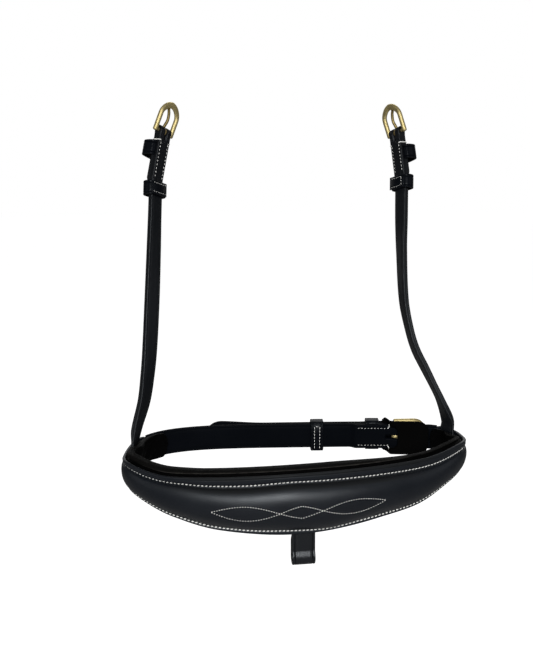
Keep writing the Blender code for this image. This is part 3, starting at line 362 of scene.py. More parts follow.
def brass_recipe(name, dull, bright):
    """Cast brass, polished to a satin, with fine rubbing. A tongue's ring is painted in the bright colour as
    painted light, lighter than its pin.
    """
    made = finish(name, Metallic=1.0)
    cloud = made.noise(120.0, 4.0, 0.6)
    rub = made.noise(1.0, 3.0, 0.6, made.stretched((900.0, 900.0, 2600.0)))
    pits = made.noise(1600.0, 2.0)
    # Painted light: the part of a tongue marked as its ring takes the bright colour
    ring_painted_brighter = made.skin()[0].ramp(0.5, 0.6)
    colour = made.mix((cloud * 1.5 - 0.35 + ring_painted_brighter).clamped(), dull, bright)
    rough = cloud * 0.14 + rub * 0.08 + 0.45
    relief = made.bump(rub * 0.5 + pits * 0.5, BRASS_RELIEF)
    made.feed(Base_Color=colour, Roughness=rough.clamped(), Normal=relief)
    return made.owner


def edge_lines(width, press, line_width, edge_width):
    """A crease near each edge of a strap, and the edge itself, both mixed darker."""
    half = 0.5 * width
    return (half - CREASE_INSET, line_width, press), (half + 0.0002, edge_width, 0.5)


def make_looks():
    """Every finish by a short name."""
    # Painted shade on the front: a band under the top stitches and one along the top edge under the lining's roll
    painted_shade_bands = ((0.0012, 0.0042, 0.085), (-0.0130, -0.0046, 0.110))
    chin_lines = edge_lines(CHIN_STRAP_WIDTH, 0.9, 0.00035, 0.0006)
    cheek_lines = edge_lines(CHEEK_WIDTH, 0.9, 0.00032, 0.0006)
    keeper_lines = ((0.0040, 0.00045, 1.6), (0.0062, 0.0006, 0.6))
    loop_half = 0.5 * LOOP_WIDTH
    loop_lines = ((loop_half - CREASE_INSET, 0.00045, 1.6), (loop_half - 0.0036, 0.0004, 0.5))
    return {
        "front": leather_recipe("front_leather_finish", 0.95, 0.40, 0.33, 0.6, (), painted_shade_bands),
        "chin": leather_recipe("chin_strap_finish", 0.5, 0.48, 0.022, 0.8, chin_lines, (), 0.45),
        "cheek": leather_recipe("cheek_strap_finish", 0.5, 0.42, 0.26, 0.7, cheek_lines),
        "keeper": leather_recipe("keeper_finish", 0.6, 0.28, 0.07, 0.6, keeper_lines, (), 0.28),
        "loop": leather_recipe("flash_loop_finish", 0.5, 0.36, 0.42, 0.6, loop_lines),
        "lining": lining_recipe(),
        "guard": guard_recipe(),
        "thread": thread_recipe("white_thread", (0.92, 0.92, 0.88, 1.0)),
        "brass": brass_recipe("brass_finish", (0.46, 0.375, 0.175, 1.0), (0.66, 0.56, 0.28, 1.0)),
        # The cheek tongues' brass is painted darker as shade; their rings are painted lighter within it
        "pin": brass_recipe("tongue_brass_painted_shade", (0.15, 0.115, 0.050, 1.0), (0.45, 0.35, 0.150, 1.0)),
    }


# Sizes of the noseband

CLEAR = 0.0003
CREASE_INSET = 0.0020
CREASE_HALF_WIDTH = 0.00035
STRAP_CREASE = 0.00014
BAND_CREASE = 0.00022
LOOP_CREASE = 0.00030
EDGE_ROUND = 0.00095
EDGE_GROOVE = 0.00012
SKIVE_GROOVE = 0.0002
CHIN_JOIN_GROOVE = 0.00028
CHEEK_JOIN_GROOVE = 0.00030

RING_HALF_WIDTH = 0.133
RING_FRONT_DEPTH = 0.054
RING_BACK_DEPTH = 0.052
RING_SKEW_SHARE = 0.10
FRONT_POWER = 2.0
BACK_POWER = 3.6
RING_SAMPLES = 5761

FRONT_HALF_LENGTH = 0.200
FRONT_END_RADIUS = 0.012
FRONT_LEATHER = 0.0025
FRONT_SAG = 0.012
FRONT_TOP_RISE = 0.011
BOTTOM_SAG = 0.0193
BOTTOM_SAG_POWER = 2.57
FRONT_BELLY = 0.0109
FRONT_BOTTOM_LEAN = 0.0044
BELLY_POWER = 3.74
DOME_HEIGHT = 0.0100
DOME_END_HEIGHT = 0.0008
DOME_FADE_POWER = 2.43
DOME_POWER = 0.62

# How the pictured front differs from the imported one, and where its seams lie
FRONT_TILT = 0.021
HIGHER_TOP = 0.0004
FLATTER_BELLY = 0.0010
FLANK_AT = 0.092
FLANK_SPREAD = 0.042
SEAM_SHARE = 0.80
TOP_SEAM_DEPTH = 0.0071
BOTTOM_SEAM_DEPTH = 0.0012
BOTTOM_SEAM_MORE = 0.0019
TOP_PILLOW = 0.00010
BOTTOM_PILLOW = 0.00020
SURFACE_RIPPLE = 0.00022
RIPPLE_RISE = 0.004

# Where these changes fade, as start and reach from the middle
TOP_FADE = (0.130, 0.055)
BELLY_FADE = (0.120, 0.050)
TILT_FADE = (0.060, 0.035)
TUCK_FADE = (0.150, 0.040)

# Changes that grow along the front: size, start and reach
LEFT_END_DRAW = (0.0050, 0.095, 0.045)
RIGHT_END_DRAW = (0.0024, 0.095, 0.040)
END_TUCK = (0.0020, 0.095, 0.030)
LEFT_SEAM_RISE = (0.0022, 0.065, 0.045)
END_SEAM_RISE = (0.0032, 0.115, 0.070)
LEFT_ROLL_RISE = (0.0007, 0.070, 0.030)
RIGHT_ROLL_DROP = (0.0023, 0.020, 0.080)
PAD_BEND = (1.0, 0.10, 0.06)

# Swells along the front or across its flanges: size, middle and spread
FULLER_FLANK = (0.0033, FLANK_AT, FLANK_SPREAD)
FLATTER_FLANK = (0.55, FLANK_AT, FLANK_SPREAD)
TOP_SEAM_WANDER = ((0.0005, -0.035, 0.022), (-0.0005, -0.085, 0.022))
TOP_SEAM_NARROWING = (0.0008, -0.012, 0.022)
BOTTOM_SEAM_WANDER = ((0.0007, -0.012, 0.020), (-0.0007, 0.022, 0.014))
TOP_SEAM_DRAW = (0.00125, 1.06, 0.17)
BOTTOM_SEAM_DRAW = (0.00040, 1.0, 0.18)
EDGE_CREASE = (0.00022, 0.0021, 0.00035)
ROLL_GROOVE = (0.0022, 0.0002, 0.0012)

PAD_LEFT_LENGTH = FRONT_HALF_LENGTH + 0.012
PAD_RIGHT_LENGTH = FRONT_HALF_LENGTH - 0.0015
PAD_THICKNESS = 0.0095
PAD_END_THICKNESS = 0.0030
PAD_ROLL_RISE = 0.0043
PAD_END_RADIUS = 0.0055
PAD_BOTTOM_INSET = 0.0105
PAD_ROUNDNESS = 5.0
PAD_FOOT_SHARE = 0.62
POCKET_START = FRONT_HALF_LENGTH - 0.052
POCKET_END = FRONT_HALF_LENGTH - 0.035
BROAD_WRINKLE = 0.00030
FINE_WRINKLE = 0.00010
BENT_WRINKLE = 0.00030
END_FOLD = 0.0012
INNER_MARK = 0.03

CHIN_STRAP_WIDTH = 0.021
STRAP_THICKNESS = 0.0032
STRAP_SEAT = 0.0065
TURNED_THICKNESS = 0.0064
TURNED_LENGTH = 0.033
SKIVE_LENGTH = 0.006
EYE_LEATHER = 0.0021
BILLET_TIP_LENGTH = 0.013
BILLET_TIP_SPRING = 0.0080
BILLET_HOLE_PITCH = 0.019
BILLET_HOLE_RADIUS = 0.0021
BILLET_SPARE_HOLES = 4
USED_HOLE_STRETCH = 2.8

CHIN_BAR_AT = FRONT_HALF_LENGTH + 0.0285
BILLET_TIP_AT = CHIN_BAR_AT + 0.1595
CHIN_BUCKLE_LENGTH = 0.024
CHIN_BAR_RADIUS = 0.0016
CHIN_LEG_RADIUS = 0.0018
CHIN_BOW_WIDTH = 0.0055
CHIN_BOW_THICKNESS = 0.0025
CHIN_BOW_ROUND = 0.0095
CHIN_LEG_ROOM = 0.0009
CHIN_TILT_DEG = 6.5
CHIN_TONGUE_RADIUS = 0.0011
TONGUE_RING_WALL = 0.0012
TONGUE_RING_WIDTH = 0.0026
TONGUE_REACH = 0.0012
SLOT_ROOM = 0.0005
CREW_SLOT_LENGTH = 0.0085
CUT_OVERRUN = 0.003

GUARD_WIDTH = 0.0292
GUARD_THICKNESS = 0.0018
GUARD_TAB_LENGTH = 0.0025
GUARD_REACH = 0.0285
GUARD_STEP_LENGTH = 0.0050
GUARD_STEP_SPACE = 0.0015
GUARD_SLOT_BACK = 0.0020
GUARD_SLOT_HUG = 0.0010
GUARD_ROUND = 0.009

CHIN_KEEPER_BAND = 0.0112
CHIN_RUNNER_BAND = 0.0108
KEEPER_LEATHER = 0.0016
KEEPER_ROOM = 0.0008
LAP_LEATHER = 0.0009
LAP_SINK = 0.0002
LAP_INSET = 0.0004
LAP_BEVEL = 0.0005
CHIN_KEEPER_AT = CHIN_BAR_AT + 0.0195
CHIN_RUNNER_AT = CHIN_BAR_AT + 0.0665

LOOP_WIDTH = 0.0174
LOOP_LEATHER = 0.0020
LOOP_DROP = 0.0260
LOOP_AT = 0.0025
LOOP_TAB = 0.0065
LOOP_ROOM = 0.0072
LOOP_BULGE = 0.0022

CHEEK_WIDTH = 0.013
CHEEK_THICKNESS = 0.0042
CHEEK_ROOT_DEPTH = 0.015
CHEEK_ROOT_LEVEL = 0.009
CHEEK_ROOT_THICKNESS = 0.0022
CHEEK_ROOT_INSET = 0.0015
CHEEK_SKIVE = 0.012
CHEEK_LEAN_DEG = 17.0
CHEEK_TURNED_THICKNESS = 0.0070
CHEEK_STEP = 0.00017

# Routes of the cheek straps: how far up and how far sideways, as shares of their length
LEFT_ROUTE_SHARES = (
    (0.00, 0.000), (0.05, 0.006), (0.14, 0.030), (0.22, 0.041), (0.30, 0.048), (0.46, 0.056), (0.62, 0.062),
    (0.70, 0.0645), (0.78, 0.067), (0.845, 0.069), (0.880, 0.0723), (0.930, 0.081), (1.000, 0.0935),
)

RIGHT_ROUTE_SHARES = (
    (0.00, 0.000), (0.03, 0.003), (0.095, -0.018), (0.145, -0.0405), (0.20, -0.0665), (0.265, -0.097),
    (0.33, -0.1155), (0.43, -0.1320), (0.60, -0.1355), (0.70, -0.1335), (0.78, -0.131), (0.845, -0.129),
    (0.880, -0.130), (0.930, -0.135), (1.000, -0.142),
)
# How far their outer face turns back from sideways above the root, in degrees
LEFT_TURNS = ((0.10, 24.0), (0.24, 40.0), (0.34, 46.0), (0.46, 47.0), (0.62, 41.0), (0.74, 35.0), (1.00, 34.0))
RIGHT_TURNS = ((0.10, 5.0), (0.22, 7.0), (0.33, 7.0), (0.44, 13.0), (0.60, 20.0), (0.72, 31.0), (1.00, 31.0))

# Each cheek strap: its root along the front, and its drops down from the bar at its top
LEFT_CHEEK = {
    "side": -1.0, "route": LEFT_ROUTE_SHARES, "turns": LEFT_TURNS, "root_at": FRONT_HALF_LENGTH - 0.029,
    "length": 0.254, "turned_length": 0.040, "fixed_drop": 0.0155, "runner_drop": 0.0475, "thread_drop": 0.0084,
}
RIGHT_CHEEK = {
    "side": 1.0, "route": RIGHT_ROUTE_SHARES, "turns": RIGHT_TURNS, "root_at": FRONT_HALF_LENGTH - 0.017,
    "length": 0.252, "turned_length": 0.035, "fixed_drop": 0.0185, "runner_drop": 0.0434, "thread_drop": 0.0102,
}

CHEEK_BUCKLE_LENGTH = 0.0224
CHEEK_BUCKLE_LEAN_DEG = 13.0
CHEEK_BAR_RADIUS = 0.0015
CHEEK_LEG_RADIUS = 0.00200
CHEEK_BOW_WIDTH = 0.0052
CHEEK_BOW_THICKNESS = 0.0025
CHEEK_LEG_ROOM = 0.00135
CHEEK_TONGUE_RADIUS = 0.0013
CHEEK_TONGUE_REACH = -0.0012

CHEEK_FIXED_BAND = 0.0120
CHEEK_RUNNER_BAND = 0.0115
CHEEK_RUNNER_TRAVEL = 0.022
CHEEK_KEEPER_OPENING = 0.0074
CHEEK_RUNNER_ROOM = 0.0010
CHEEK_SIDE_ROOM = 0.0023

# Keepers: their lower and upper corner radii, and how far the walls bow as a share of their length
CHIN_FIXED_CORNERS = (0.0012, 0.0016)
CHIN_RUNNER_CORNERS = (0.0014, 0.0014)
CHEEK_FIXED_CORNERS = (0.0014, 0.0042)
CHEEK_RUNNER_CORNERS = (0.0030, 0.0038)
CHEEK_FIXED_BULGE = 0.04
CHEEK_RUNNER_BULGE = 0.025


# Stitches as length, width, height and slant, with their pitch
TOP_STITCH, TOP_PITCH = (0.00215, 0.00130, 0.0010, 0.50), 0.00295
BOTTOM_STITCH, BOTTOM_PITCH = (0.00205, 0.00125, 0.0010, 0.38), 0.00295
FANCY_STITCH, FANCY_PITCH = (0.00090, 0.00070, 0.00055, 0.0), 0.0019
CHIN_STITCH, CHIN_PITCH = (0.0014, 0.00052, 0.0005, 0.12), 0.0028
CHIN_RUNNER_STITCH, CHIN_RUNNER_PITCH = (0.0019, 0.0006, 0.0005, 0.0), 0.0030
CHEEK_STITCH, CHEEK_PITCH = (0.0015, 0.00060, 0.0005, 0.1), 0.0030
CHEEK_RUNNER_STITCH, CHEEK_RUNNER_PITCH = (0.0014, 0.00045, 0.0005, 0.0), 0.0026
STITCH_SEED = 7
FRONT_ROW_REACH = FRONT_HALF_LENGTH - 0.0135
CHIN_THREAD_INSET = 0.0030
CHIN_THREAD_AT = CHIN_BAR_AT + 0.0054
CHEEK_THREAD_INSET = 0.0021
THREAD_LIFT = 0.00002
END_THREAD_RADIUS = 0.00048
TWIST_LENGTH = 0.003

# Corners of the fancy stitching, as places along the front and depths below its top edge
LEFT_TIP, LEFT_CROSS = (-0.0650, 0.0238), (-0.0164, 0.0263)
RIGHT_CROSS, RIGHT_TIP = (0.0139, 0.0263), (0.0610, 0.0242)
DIAMOND_TOP, DIAMOND_FOOT = (-0.0012, 0.0214), (-0.0008, 0.0312)

# The arcs that join them, with how far each bows down
FANCY_ARCS = (
    (LEFT_TIP, LEFT_CROSS, -0.0050), (LEFT_TIP, LEFT_CROSS, 0.0063),
    (LEFT_CROSS, DIAMOND_TOP, -0.0005), (LEFT_CROSS, DIAMOND_FOOT, 0.0004),
    (DIAMOND_TOP, RIGHT_CROSS, -0.0004), (DIAMOND_FOOT, RIGHT_CROSS, 0.0),
    (RIGHT_CROSS, RIGHT_TIP, -0.0048), (RIGHT_CROSS, RIGHT_TIP, 0.0060),
)


# Surfaces

def mesh_piece(name, bm, look, smooth_deg=40.0):
    bmesh.ops.remove_doubles(bm, verts=bm.verts, dist=0.000002)
    bmesh.ops.recalc_face_normals(bm, faces=bm.faces)
    mesh = bpy.data.meshes.new(name)
    bm.to_mesh(mesh)
    bm.free()
    mesh.shade_smooth()
    mesh.set_sharp_from_angle(angle=math.radians(smooth_deg))
    mesh.materials.append(look)
    return add_to_scene(name, mesh)


def wrap_skin(bm, rings, uvs, closed=False):
    """Quads between rings of points. uvs[i][k] is the surface place of point k of ring i."""
    layer = bm.loops.layers.uv.get("UVMap") or bm.loops.layers.uv.new("UVMap")
    rows = [[bm.verts.new(p) for p in ring] for ring in rings]
    count = len(rows[0])
    total = len(rows) if closed else len(rows) - 1
    for i in range(total):
        j = (i + 1) % len(rows)
        for k in range(count):
            n = (k + 1) % count
            corners = ((i, k), (i, n), (j, n), (j, k))
            try:
                face = bm.faces.new([rows[a][b] for a, b in corners])
            except ValueError:
                continue
            for loop, (a, b) in zip(face.loops, corners):
                u, v = uvs[a][b]
                if closed and a == 0 and i == len(rows) - 1:
                    u = uvs[i][b][0] + (uvs[1][b][0] - uvs[0][b][0])
                loop[layer].uv = (u, v)
    if not closed:
        for row, end in ((rows[0], 0), (rows[-1], -1)):
            face = bm.faces.new(row if end else list(reversed(row)))
            values = uvs[end] if end else list(reversed(uvs[end]))
            for loop, (u, v) in zip(face.loops, values):
                loop[layer].uv = (u, v)


def skin_piece(name, rings, uvs, look, closed=False, smooth_deg=40.0):
    bm = bmesh.new()
    wrap_skin(bm, rings, uvs, closed)
    return mesh_piece(name, bm, look, smooth_deg)


def stands_for(piece, body, *nodes):
    """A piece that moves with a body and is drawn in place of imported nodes."""
    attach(piece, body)
    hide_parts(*nodes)
    return piece


def sits_on(piece, body):
    """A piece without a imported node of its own, that moves with a body."""
    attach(piece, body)
    return piece


def settled(piece):
    """The piece with its modifiers worked out, as a plain mesh."""
    depsgraph = bpy.context.evaluated_depsgraph_get()
    mesh = bpy.data.meshes.new_from_object(piece.evaluated_get(depsgraph))
    piece.modifiers.clear()
    piece.data = mesh
    return piece


def cut_away(piece, tools):
    """Cuts slots and holes out of a piece, then drops the cutters."""
    for tool in tools:
        step = piece.modifiers.new("cut", "BOOLEAN")
        step.operation = "DIFFERENCE"
        step.solver = "EXACT"
        step.object = tool
    settled(piece)
    for tool in tools:
        bpy.data.objects.remove(tool, do_unlink=True)
    return piece


def peg(place, length, half_x, half_y, look):
    """A cutter with rounded ends: half_x by half_y across, length along Z."""
    bm = bmesh.new()
    radius = min(half_x, half_y)
    outline = []
    for k in range(24):
        angle = 2.0 * math.pi * (k + 0.5) / 24
        x = (half_x - radius) * (1.0 if math.cos(angle) > 0.0 else -1.0) + radius * math.cos(angle)
        y = (half_y - radius) * (1.0 if math.sin(angle) > 0.0 else -1.0) + radius * math.sin(angle)
        outline.append((x, y))
    rings = [[place @ Vector((x, y, z)) for x, y in outline] for z in (-0.5 * length, 0.5 * length)]
    wrap_skin(bm, rings, [[(0.0, 0.0)] * 24] * 2)
    return mesh_piece("cutter", bm, look)


def smooth_step(value):
    value = min(max(value, 0.0), 1.0)
    return value * value * (3.0 - 2.0 * value)


def between(start, end, count):
    return [start + (end - start) * i / (count - 1) for i in range(count)]


def even(start, end, step):
    return between(start, end, max(int(round(abs(end - start) / step)), 1) + 1)


def curve_through(value, places, heights):
    """Cubic curve through a few chosen points."""
    last = len(places) - 1
    k = 0
    while k < last - 1 and value > places[k + 1]:
        k += 1

    def slope(i):
        low, high = max(i - 1, 0), min(i + 1, last)
        return (heights[high] - heights[low]) / (places[high] - places[low])

    span = places[k + 1] - places[k]
    u = min(max((value - places[k]) / span, 0.0), 1.0)
    ends = (1.0 + 2.0 * u) * (1.0 - u) ** 2 * heights[k] + u * u * (3.0 - 2.0 * u) * heights[k + 1]
    return ends + u * (1.0 - u) ** 2 * span * slope(k) - u * u * (1.0 - u) * span * slope(k + 1)


# The line round the nose

def tabulate_ring():
    angles = np.linspace(-0.5 * math.pi, 1.5 * math.pi, RING_SAMPLES)
    cosine, sine = np.cos(angles), np.sin(angles)
    front = sine < 0.0
    power = np.where(front, FRONT_POWER, BACK_POWER)
    depth = np.where(front, RING_FRONT_DEPTH, RING_BACK_DEPTH)
    x = RING_HALF_WIDTH * np.sign(cosine) * np.abs(cosine) ** (2.0 / power)
    skew = RING_SKEW_SHARE * np.where(front, 1.0, 1.0 - np.abs(sine))
    y = depth * np.sign(sine) * np.abs(sine) ** (2.0 / power) + skew * x
    lengths = np.concatenate(([0.0], np.cumsum(np.hypot(np.diff(x), np.diff(y)))))
    run_x, run_y = np.gradient(x), np.gradient(y)
    size = np.hypot(run_x, run_y)
    return {"length": lengths[-1], "s": lengths, "x": x, "y": y, "tx": run_x / size, "ty": run_y / size}


RING = tabulate_ring()


def ring_frame(s):
    """Point, direction along and outward direction on the line."""
    s = s % RING["length"]
    x, y, along_x, along_y = (np.interp(s, RING["s"], RING[key]) for key in ("x", "y", "tx", "ty"))
    along = Vector((along_x, along_y, 0.0)).normalized()
    return Vector((x, y, 0.0)), along, Vector((along.y, -along.x, 0.0))


def on_ring(s, out, up):
    point, along, outward = ring_frame(s)
    return point + outward * out + UP * up


def ring_matrix(s, out):
    """Place on the ring: X up across the strap, Y back along the ring, Z outwards."""
    point, along, outward = ring_frame(s)
    return axes_at(point + outward * out, -along, outward)


def ring_reading(place):
    """Where along the line a place is, and how far outside it."""
    gap = np.hypot(RING["x"] - place.x, RING["y"] - place.y)
    s = float(RING["s"][int(np.argmin(gap))])
    point, along, outward = ring_frame(s)
    return s, (place - point).dot(outward)


# Padded front

def front_share(s):
    return max(1.0 - (s / FRONT_HALF_LENGTH) ** 2, 0.0)


def near_middle(s, start, reach):
    return 1.0 - smooth_step((abs(s) - start) / reach)


def grown(s, size, start, reach):
    return size * smooth_step((s - start) / reach)


def swell(value, size, middle, spread):
    return size * math.exp(-((value - middle) / spread) ** 2)


def front_height(s):
    return front_top(s) - front_bottom(s)


def front_top(s):
    """Upper edge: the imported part's, hung a little lower on the left and drawn up at both ends as pictured."""
    share = front_share(s)
    drawn = grown(-s, *LEFT_END_DRAW) + grown(s, *RIGHT_END_DRAW)
    shift = (HIGHER_TOP + FRONT_TILT * s + drawn) * near_middle(s, *TOP_FADE)
    return 0.5 * CHIN_STRAP_WIDTH - FRONT_SAG * share + FRONT_TOP_RISE * share * share + shift


def packed_bottom(s):
    share = front_share(s)
    sag = BOTTOM_SAG * share ** BOTTOM_SAG_POWER
    return -0.5 * CHIN_STRAP_WIDTH - sag - FRONT_BELLY * share ** BELLY_POWER


def front_bottom(s):
    """Lower edge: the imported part's, with the same tilt, a flatter belly and fuller flanks as pictured."""
    shape = (FLATTER_BELLY - swell(abs(s), *FULLER_FLANK)) * near_middle(s, *BELLY_FADE)
    return packed_bottom(s) + shape + FRONT_TILT * s * near_middle(s, *TILT_FADE)


def front_lean(s, height_share):
    """How far the face leans in towards its lower edge, which is tucked under near the ends."""
    tuck = grown(abs(s), *END_TUCK) * near_middle(s, *TUCK_FADE)
    low = 1.0 - height_share
    return -FRONT_BOTTOM_LEAN * front_share(s) ** 2 * low - tuck * max(low, 0.0) ** 2


def end_round(s, half_length, radius=FRONT_END_RADIUS):
    into = max(abs(s) - (half_length - radius), 0.0) / radius
    return math.sqrt(max(1.0 - into * into, 0.0))


def top_seam(s):
    """Depth of the upper stitches below the edge."""
    narrower = grown(-s, *LEFT_SEAM_RISE) + swell(s, *TOP_SEAM_NARROWING)
    wander = sum(swell(s, *row) for row in TOP_SEAM_WANDER)
    return TOP_SEAM_DEPTH + wander - narrower - grown(abs(s), *END_SEAM_RISE)


def bottom_seam(s):
    """Height of the lower stitches above the edge."""
    wander = sum(swell(s, *row) for row in BOTTOM_SEAM_WANDER)
    return BOTTOM_SEAM_DEPTH + wander + BOTTOM_SEAM_MORE * front_share(s) ** 3


def top_flange(s):
    return top_seam(s) / SEAM_SHARE


def bottom_flange(s):
    return bottom_seam(s) / SEAM_SHARE


def dome_rise(s, height_share):
    """How far the filling raises the leather between the two flanges."""
    height = front_height(s)
    low = bottom_flange(s) / height
    high = 1.0 - top_flange(s) / height
    across = (height_share - low) / (high - low)
    if across <= 0.0 or across >= 1.0:
        return 0.0
    full = DOME_END_HEIGHT + (DOME_HEIGHT - DOME_END_HEIGHT) * front_share(s) ** DOME_FADE_POWER
    flatter = swell(abs(s), *FLATTER_FLANK) * smooth_step(1.0 - 1.6 * across)
    profile = (4.0 * across * (1.0 - across)) ** (DOME_POWER + flatter)
    return smooth_step(end_round(s, FRONT_HALF_LENGTH) * 1.1) * full * profile


def front_point(s, height_share, lift):
    middle = 0.5 * (front_top(s) + front_bottom(s))
    half = 0.5 * front_height(s) * end_round(s, FRONT_HALF_LENGTH)
    return on_ring(s, front_lean(s, height_share) + lift, middle + (2.0 * height_share - 1.0) * half)


def flange_pillow(s, height_share):
    """The flanges swell between their edge and the stitches, and are drawn down at the stitches."""
    down = (1.0 - height_share) * front_height(s)
    rise = height_share * front_height(s)
    lift = 0.0
    if down < top_flange(s):
        at = down / top_seam(s)
        lift += TOP_PILLOW * math.sin(math.pi * min(at, 1.0)) - swell(at, *TOP_SEAM_DRAW)
        lift -= swell(down, *EDGE_CREASE)
    if rise < bottom_flange(s):
        at = rise / bottom_seam(s)
        lift += BOTTOM_PILLOW * math.sin(math.pi * min(at, 1.0)) - swell(at, *BOTTOM_SEAM_DRAW)
    return lift * end_round(s, FRONT_HALF_LENGTH)


def front_skin(s, height_share):
    """Outer face of the front leather with its slow unevenness."""
    rise = dome_rise(s, height_share)
    ripple = noise.noise(Vector((s * 38.0, height_share * 2.6, 4.0))) * min(rise / RIPPLE_RISE, 1.0)
    lift = FRONT_LEATHER + rise + SURFACE_RIPPLE * ripple + flange_pillow(s, height_share)
    return front_point(s, height_share, lift)


def front_frame(s, height_share):
    """Point, direction along and outward normal on the outer face of the front."""
    step, rise = 0.0004, 0.004
    along = (front_skin(s + step, height_share) - front_skin(s - step, height_share)).normalized()
    across = front_skin(s, min(height_share + rise, 1.0)) - front_skin(s, max(height_share - rise, 0.0))
    return front_skin(s, height_share), along, along.cross(across).normalized()


def front_heights(s):
    """Height shares of the rows across the front: close on the edges, the flanges and the dome's foot."""
    height = front_height(s)
    low = bottom_flange(s) / height
    high = 1.0 - top_flange(s) / height
    edge = 0.5 * FRONT_LEATHER / height
    rim = (0.0, 0.08, 0.3, 0.65, 1.0)
    shares = [edge * r for r in rim]
    shares += [edge + (low - edge) * r for r in between(0.0, 1.0, 9)[1:]]
    inner = [0.5 - 0.5 * math.cos(math.pi * r) for r in between(0.0, 1.0, 41)[1:]]
    shares += [low + (high - low) * r for r in inner]
    shares += [high + (1.0 - edge - high) * r for r in between(0.0, 1.0, 26)[1:]]
    shares += [1.0 - edge * r for r in reversed(rim[:-1])]
    return shares


def rounded_stations(left, right, radius, step):
    """Places from a rounded end on the left to one on the right, closer together on the rounds."""
    tips = [radius * math.sin(0.5 * math.pi * k / 10) for k in range(1, 10)] + [radius * 0.9995]
    start, end = radius - left, right - radius
    return [start - t for t in reversed(tips)] + even(start, end, step) + [end + t for t in tips]


def make_crescent(look):
    rings, uvs = [], []
    half = 0.5 * FRONT_LEATHER
    for s in rounded_stations(FRONT_HALF_LENGTH, FRONT_HALF_LENGTH, FRONT_END_RADIUS, 0.0019):
        height = front_height(s) * max(end_round(s, FRONT_HALF_LENGTH), 0.02)
        outward = ring_frame(s)[2]
        outer, inner, places = [], [], []
        for h in front_heights(s):
            near = min(h, 1.0 - h) * front_height(s)
            tuck = half - math.sqrt(max(half * half - max(half - near, 0.0) ** 2, 0.0))
            outer.append(front_skin(s, h) - outward * tuck)
            inner.append(front_point(s, h, dome_rise(s, h)) + outward * tuck)
            # Across is measured down from the top stitches; the front's painted shade bands are placed by it
            places.append((s, (1.0 - h) * height - top_seam(s)))
        rings.append(outer + list(reversed(inner)))
        uvs.append(places + list(reversed(places)))
    return skin_piece("crescent_leather", rings, uvs, look, smooth_deg=50.0)


# Lining pad

def pocket(s):
    """Room behind the front's ends for the roots of the cheek straps."""
    share = smooth_step((abs(s) - POCKET_START) / (POCKET_END - POCKET_START))
    return share * (CHEEK_THICKNESS + CLEAR)


def pad_length(s):
    return PAD_LEFT_LENGTH if s < 0.0 else PAD_RIGHT_LENGTH


def pad_share(s):
    return max(1.0 - (s / pad_length(s)) ** 2, 0.0)


def roll_rise(s):
    """How far the roll stands above the leather, more at its left than at its right as pictured."""
    level = PAD_ROLL_RISE + grown(-s, *LEFT_ROLL_RISE) - grown(s, *RIGHT_ROLL_DROP)
    return level * min(pad_share(s) * 2.2, 1.0)


def pad_point(s, height_share, inner, swelling=0.0):
    top = front_top(s) + roll_rise(s) - CLEAR
    bottom = front_bottom(s) + PAD_BOTTOM_INSET * front_share(s)
    half = 0.5 * (top - bottom) * max(end_round(s, pad_length(s), PAD_END_RADIUS), 0.02)
    thick = PAD_END_THICKNESS + (PAD_THICKNESS - PAD_END_THICKNESS) * pad_share(s) ** 0.6
    thick *= PAD_FOOT_SHARE + (1.0 - PAD_FOOT_SHARE) * height_share
    edge = abs(2.0 * height_share - 1.0) ** PAD_ROUNDNESS
    draw = 0.5 * thick * (1.0 - (1.0 - edge) ** (1.0 / PAD_ROUNDNESS))
    up = 0.5 * (top + bottom) + (2.0 * height_share - 1.0) * half
    level = (up - front_bottom(s)) / front_height(s)
    back = front_lean(s, min(max(level, 0.0), 1.0)) - CLEAR - pocket(s)
    groove = min(swell(up - front_top(s), *ROLL_GROOVE), 0.4 * thick)
    out = back - thick + draw + swelling if inner else back - draw - groove
    return on_ring(s, out, up)


def pad_wrinkle(s, height_share):
    """Soft gathers on the inner face, closer where the pad bends and at its ends."""
    bend = grown(abs(s), *PAD_BEND)
    fine = noise.noise(Vector((s * 210.0, height_share * 3.1, 1.7)))
    broad = noise.noise(Vector((s * 62.0, height_share * 2.0, 8.1)))
    fold = noise.noise(Vector((s * 95.0 + height_share * 2.6, height_share * 1.3, 5.5)))
    gathers = BROAD_WRINKLE * broad + (FINE_WRINKLE + BENT_WRINKLE * bend) * fine + END_FOLD * bend * fold
    return gathers * (1.0 - abs(2.0 * height_share - 1.0) ** 6)


def make_padded_lining(look):
    """The lining's skin is marked by depth below the leather's edge outside, and by INNER_MARK inside; these marks
    place its painted highlight and painted shade.
    """
    rings, uvs = [], []
    turns = [0.5 - 0.5 * math.cos(math.pi * k / 22) for k in range(16)]
    turns += [1.0 - (1.0 - turns[-1]) * (1.0 - k / 18) ** 1.4 for k in range(1, 19)]
    back_turns = list(reversed(turns[1:-1]))
    for s in rounded_stations(PAD_LEFT_LENGTH, PAD_RIGHT_LENGTH, PAD_END_RADIUS, 0.0022):
        outer = [pad_point(s, h, False) for h in turns]
        rings.append(outer + [pad_point(s, h, True, pad_wrinkle(s, h)) for h in back_turns])
        outside = [(s, front_top(s) - 0.5 * CLEAR - p.z) for p in outer]
        uvs.append(outside + [(s, INNER_MARK * (2.0 - h)) for h in back_turns])
    return skin_piece("padded_lining", rings, uvs, look, smooth_deg=75.0)


# Straps

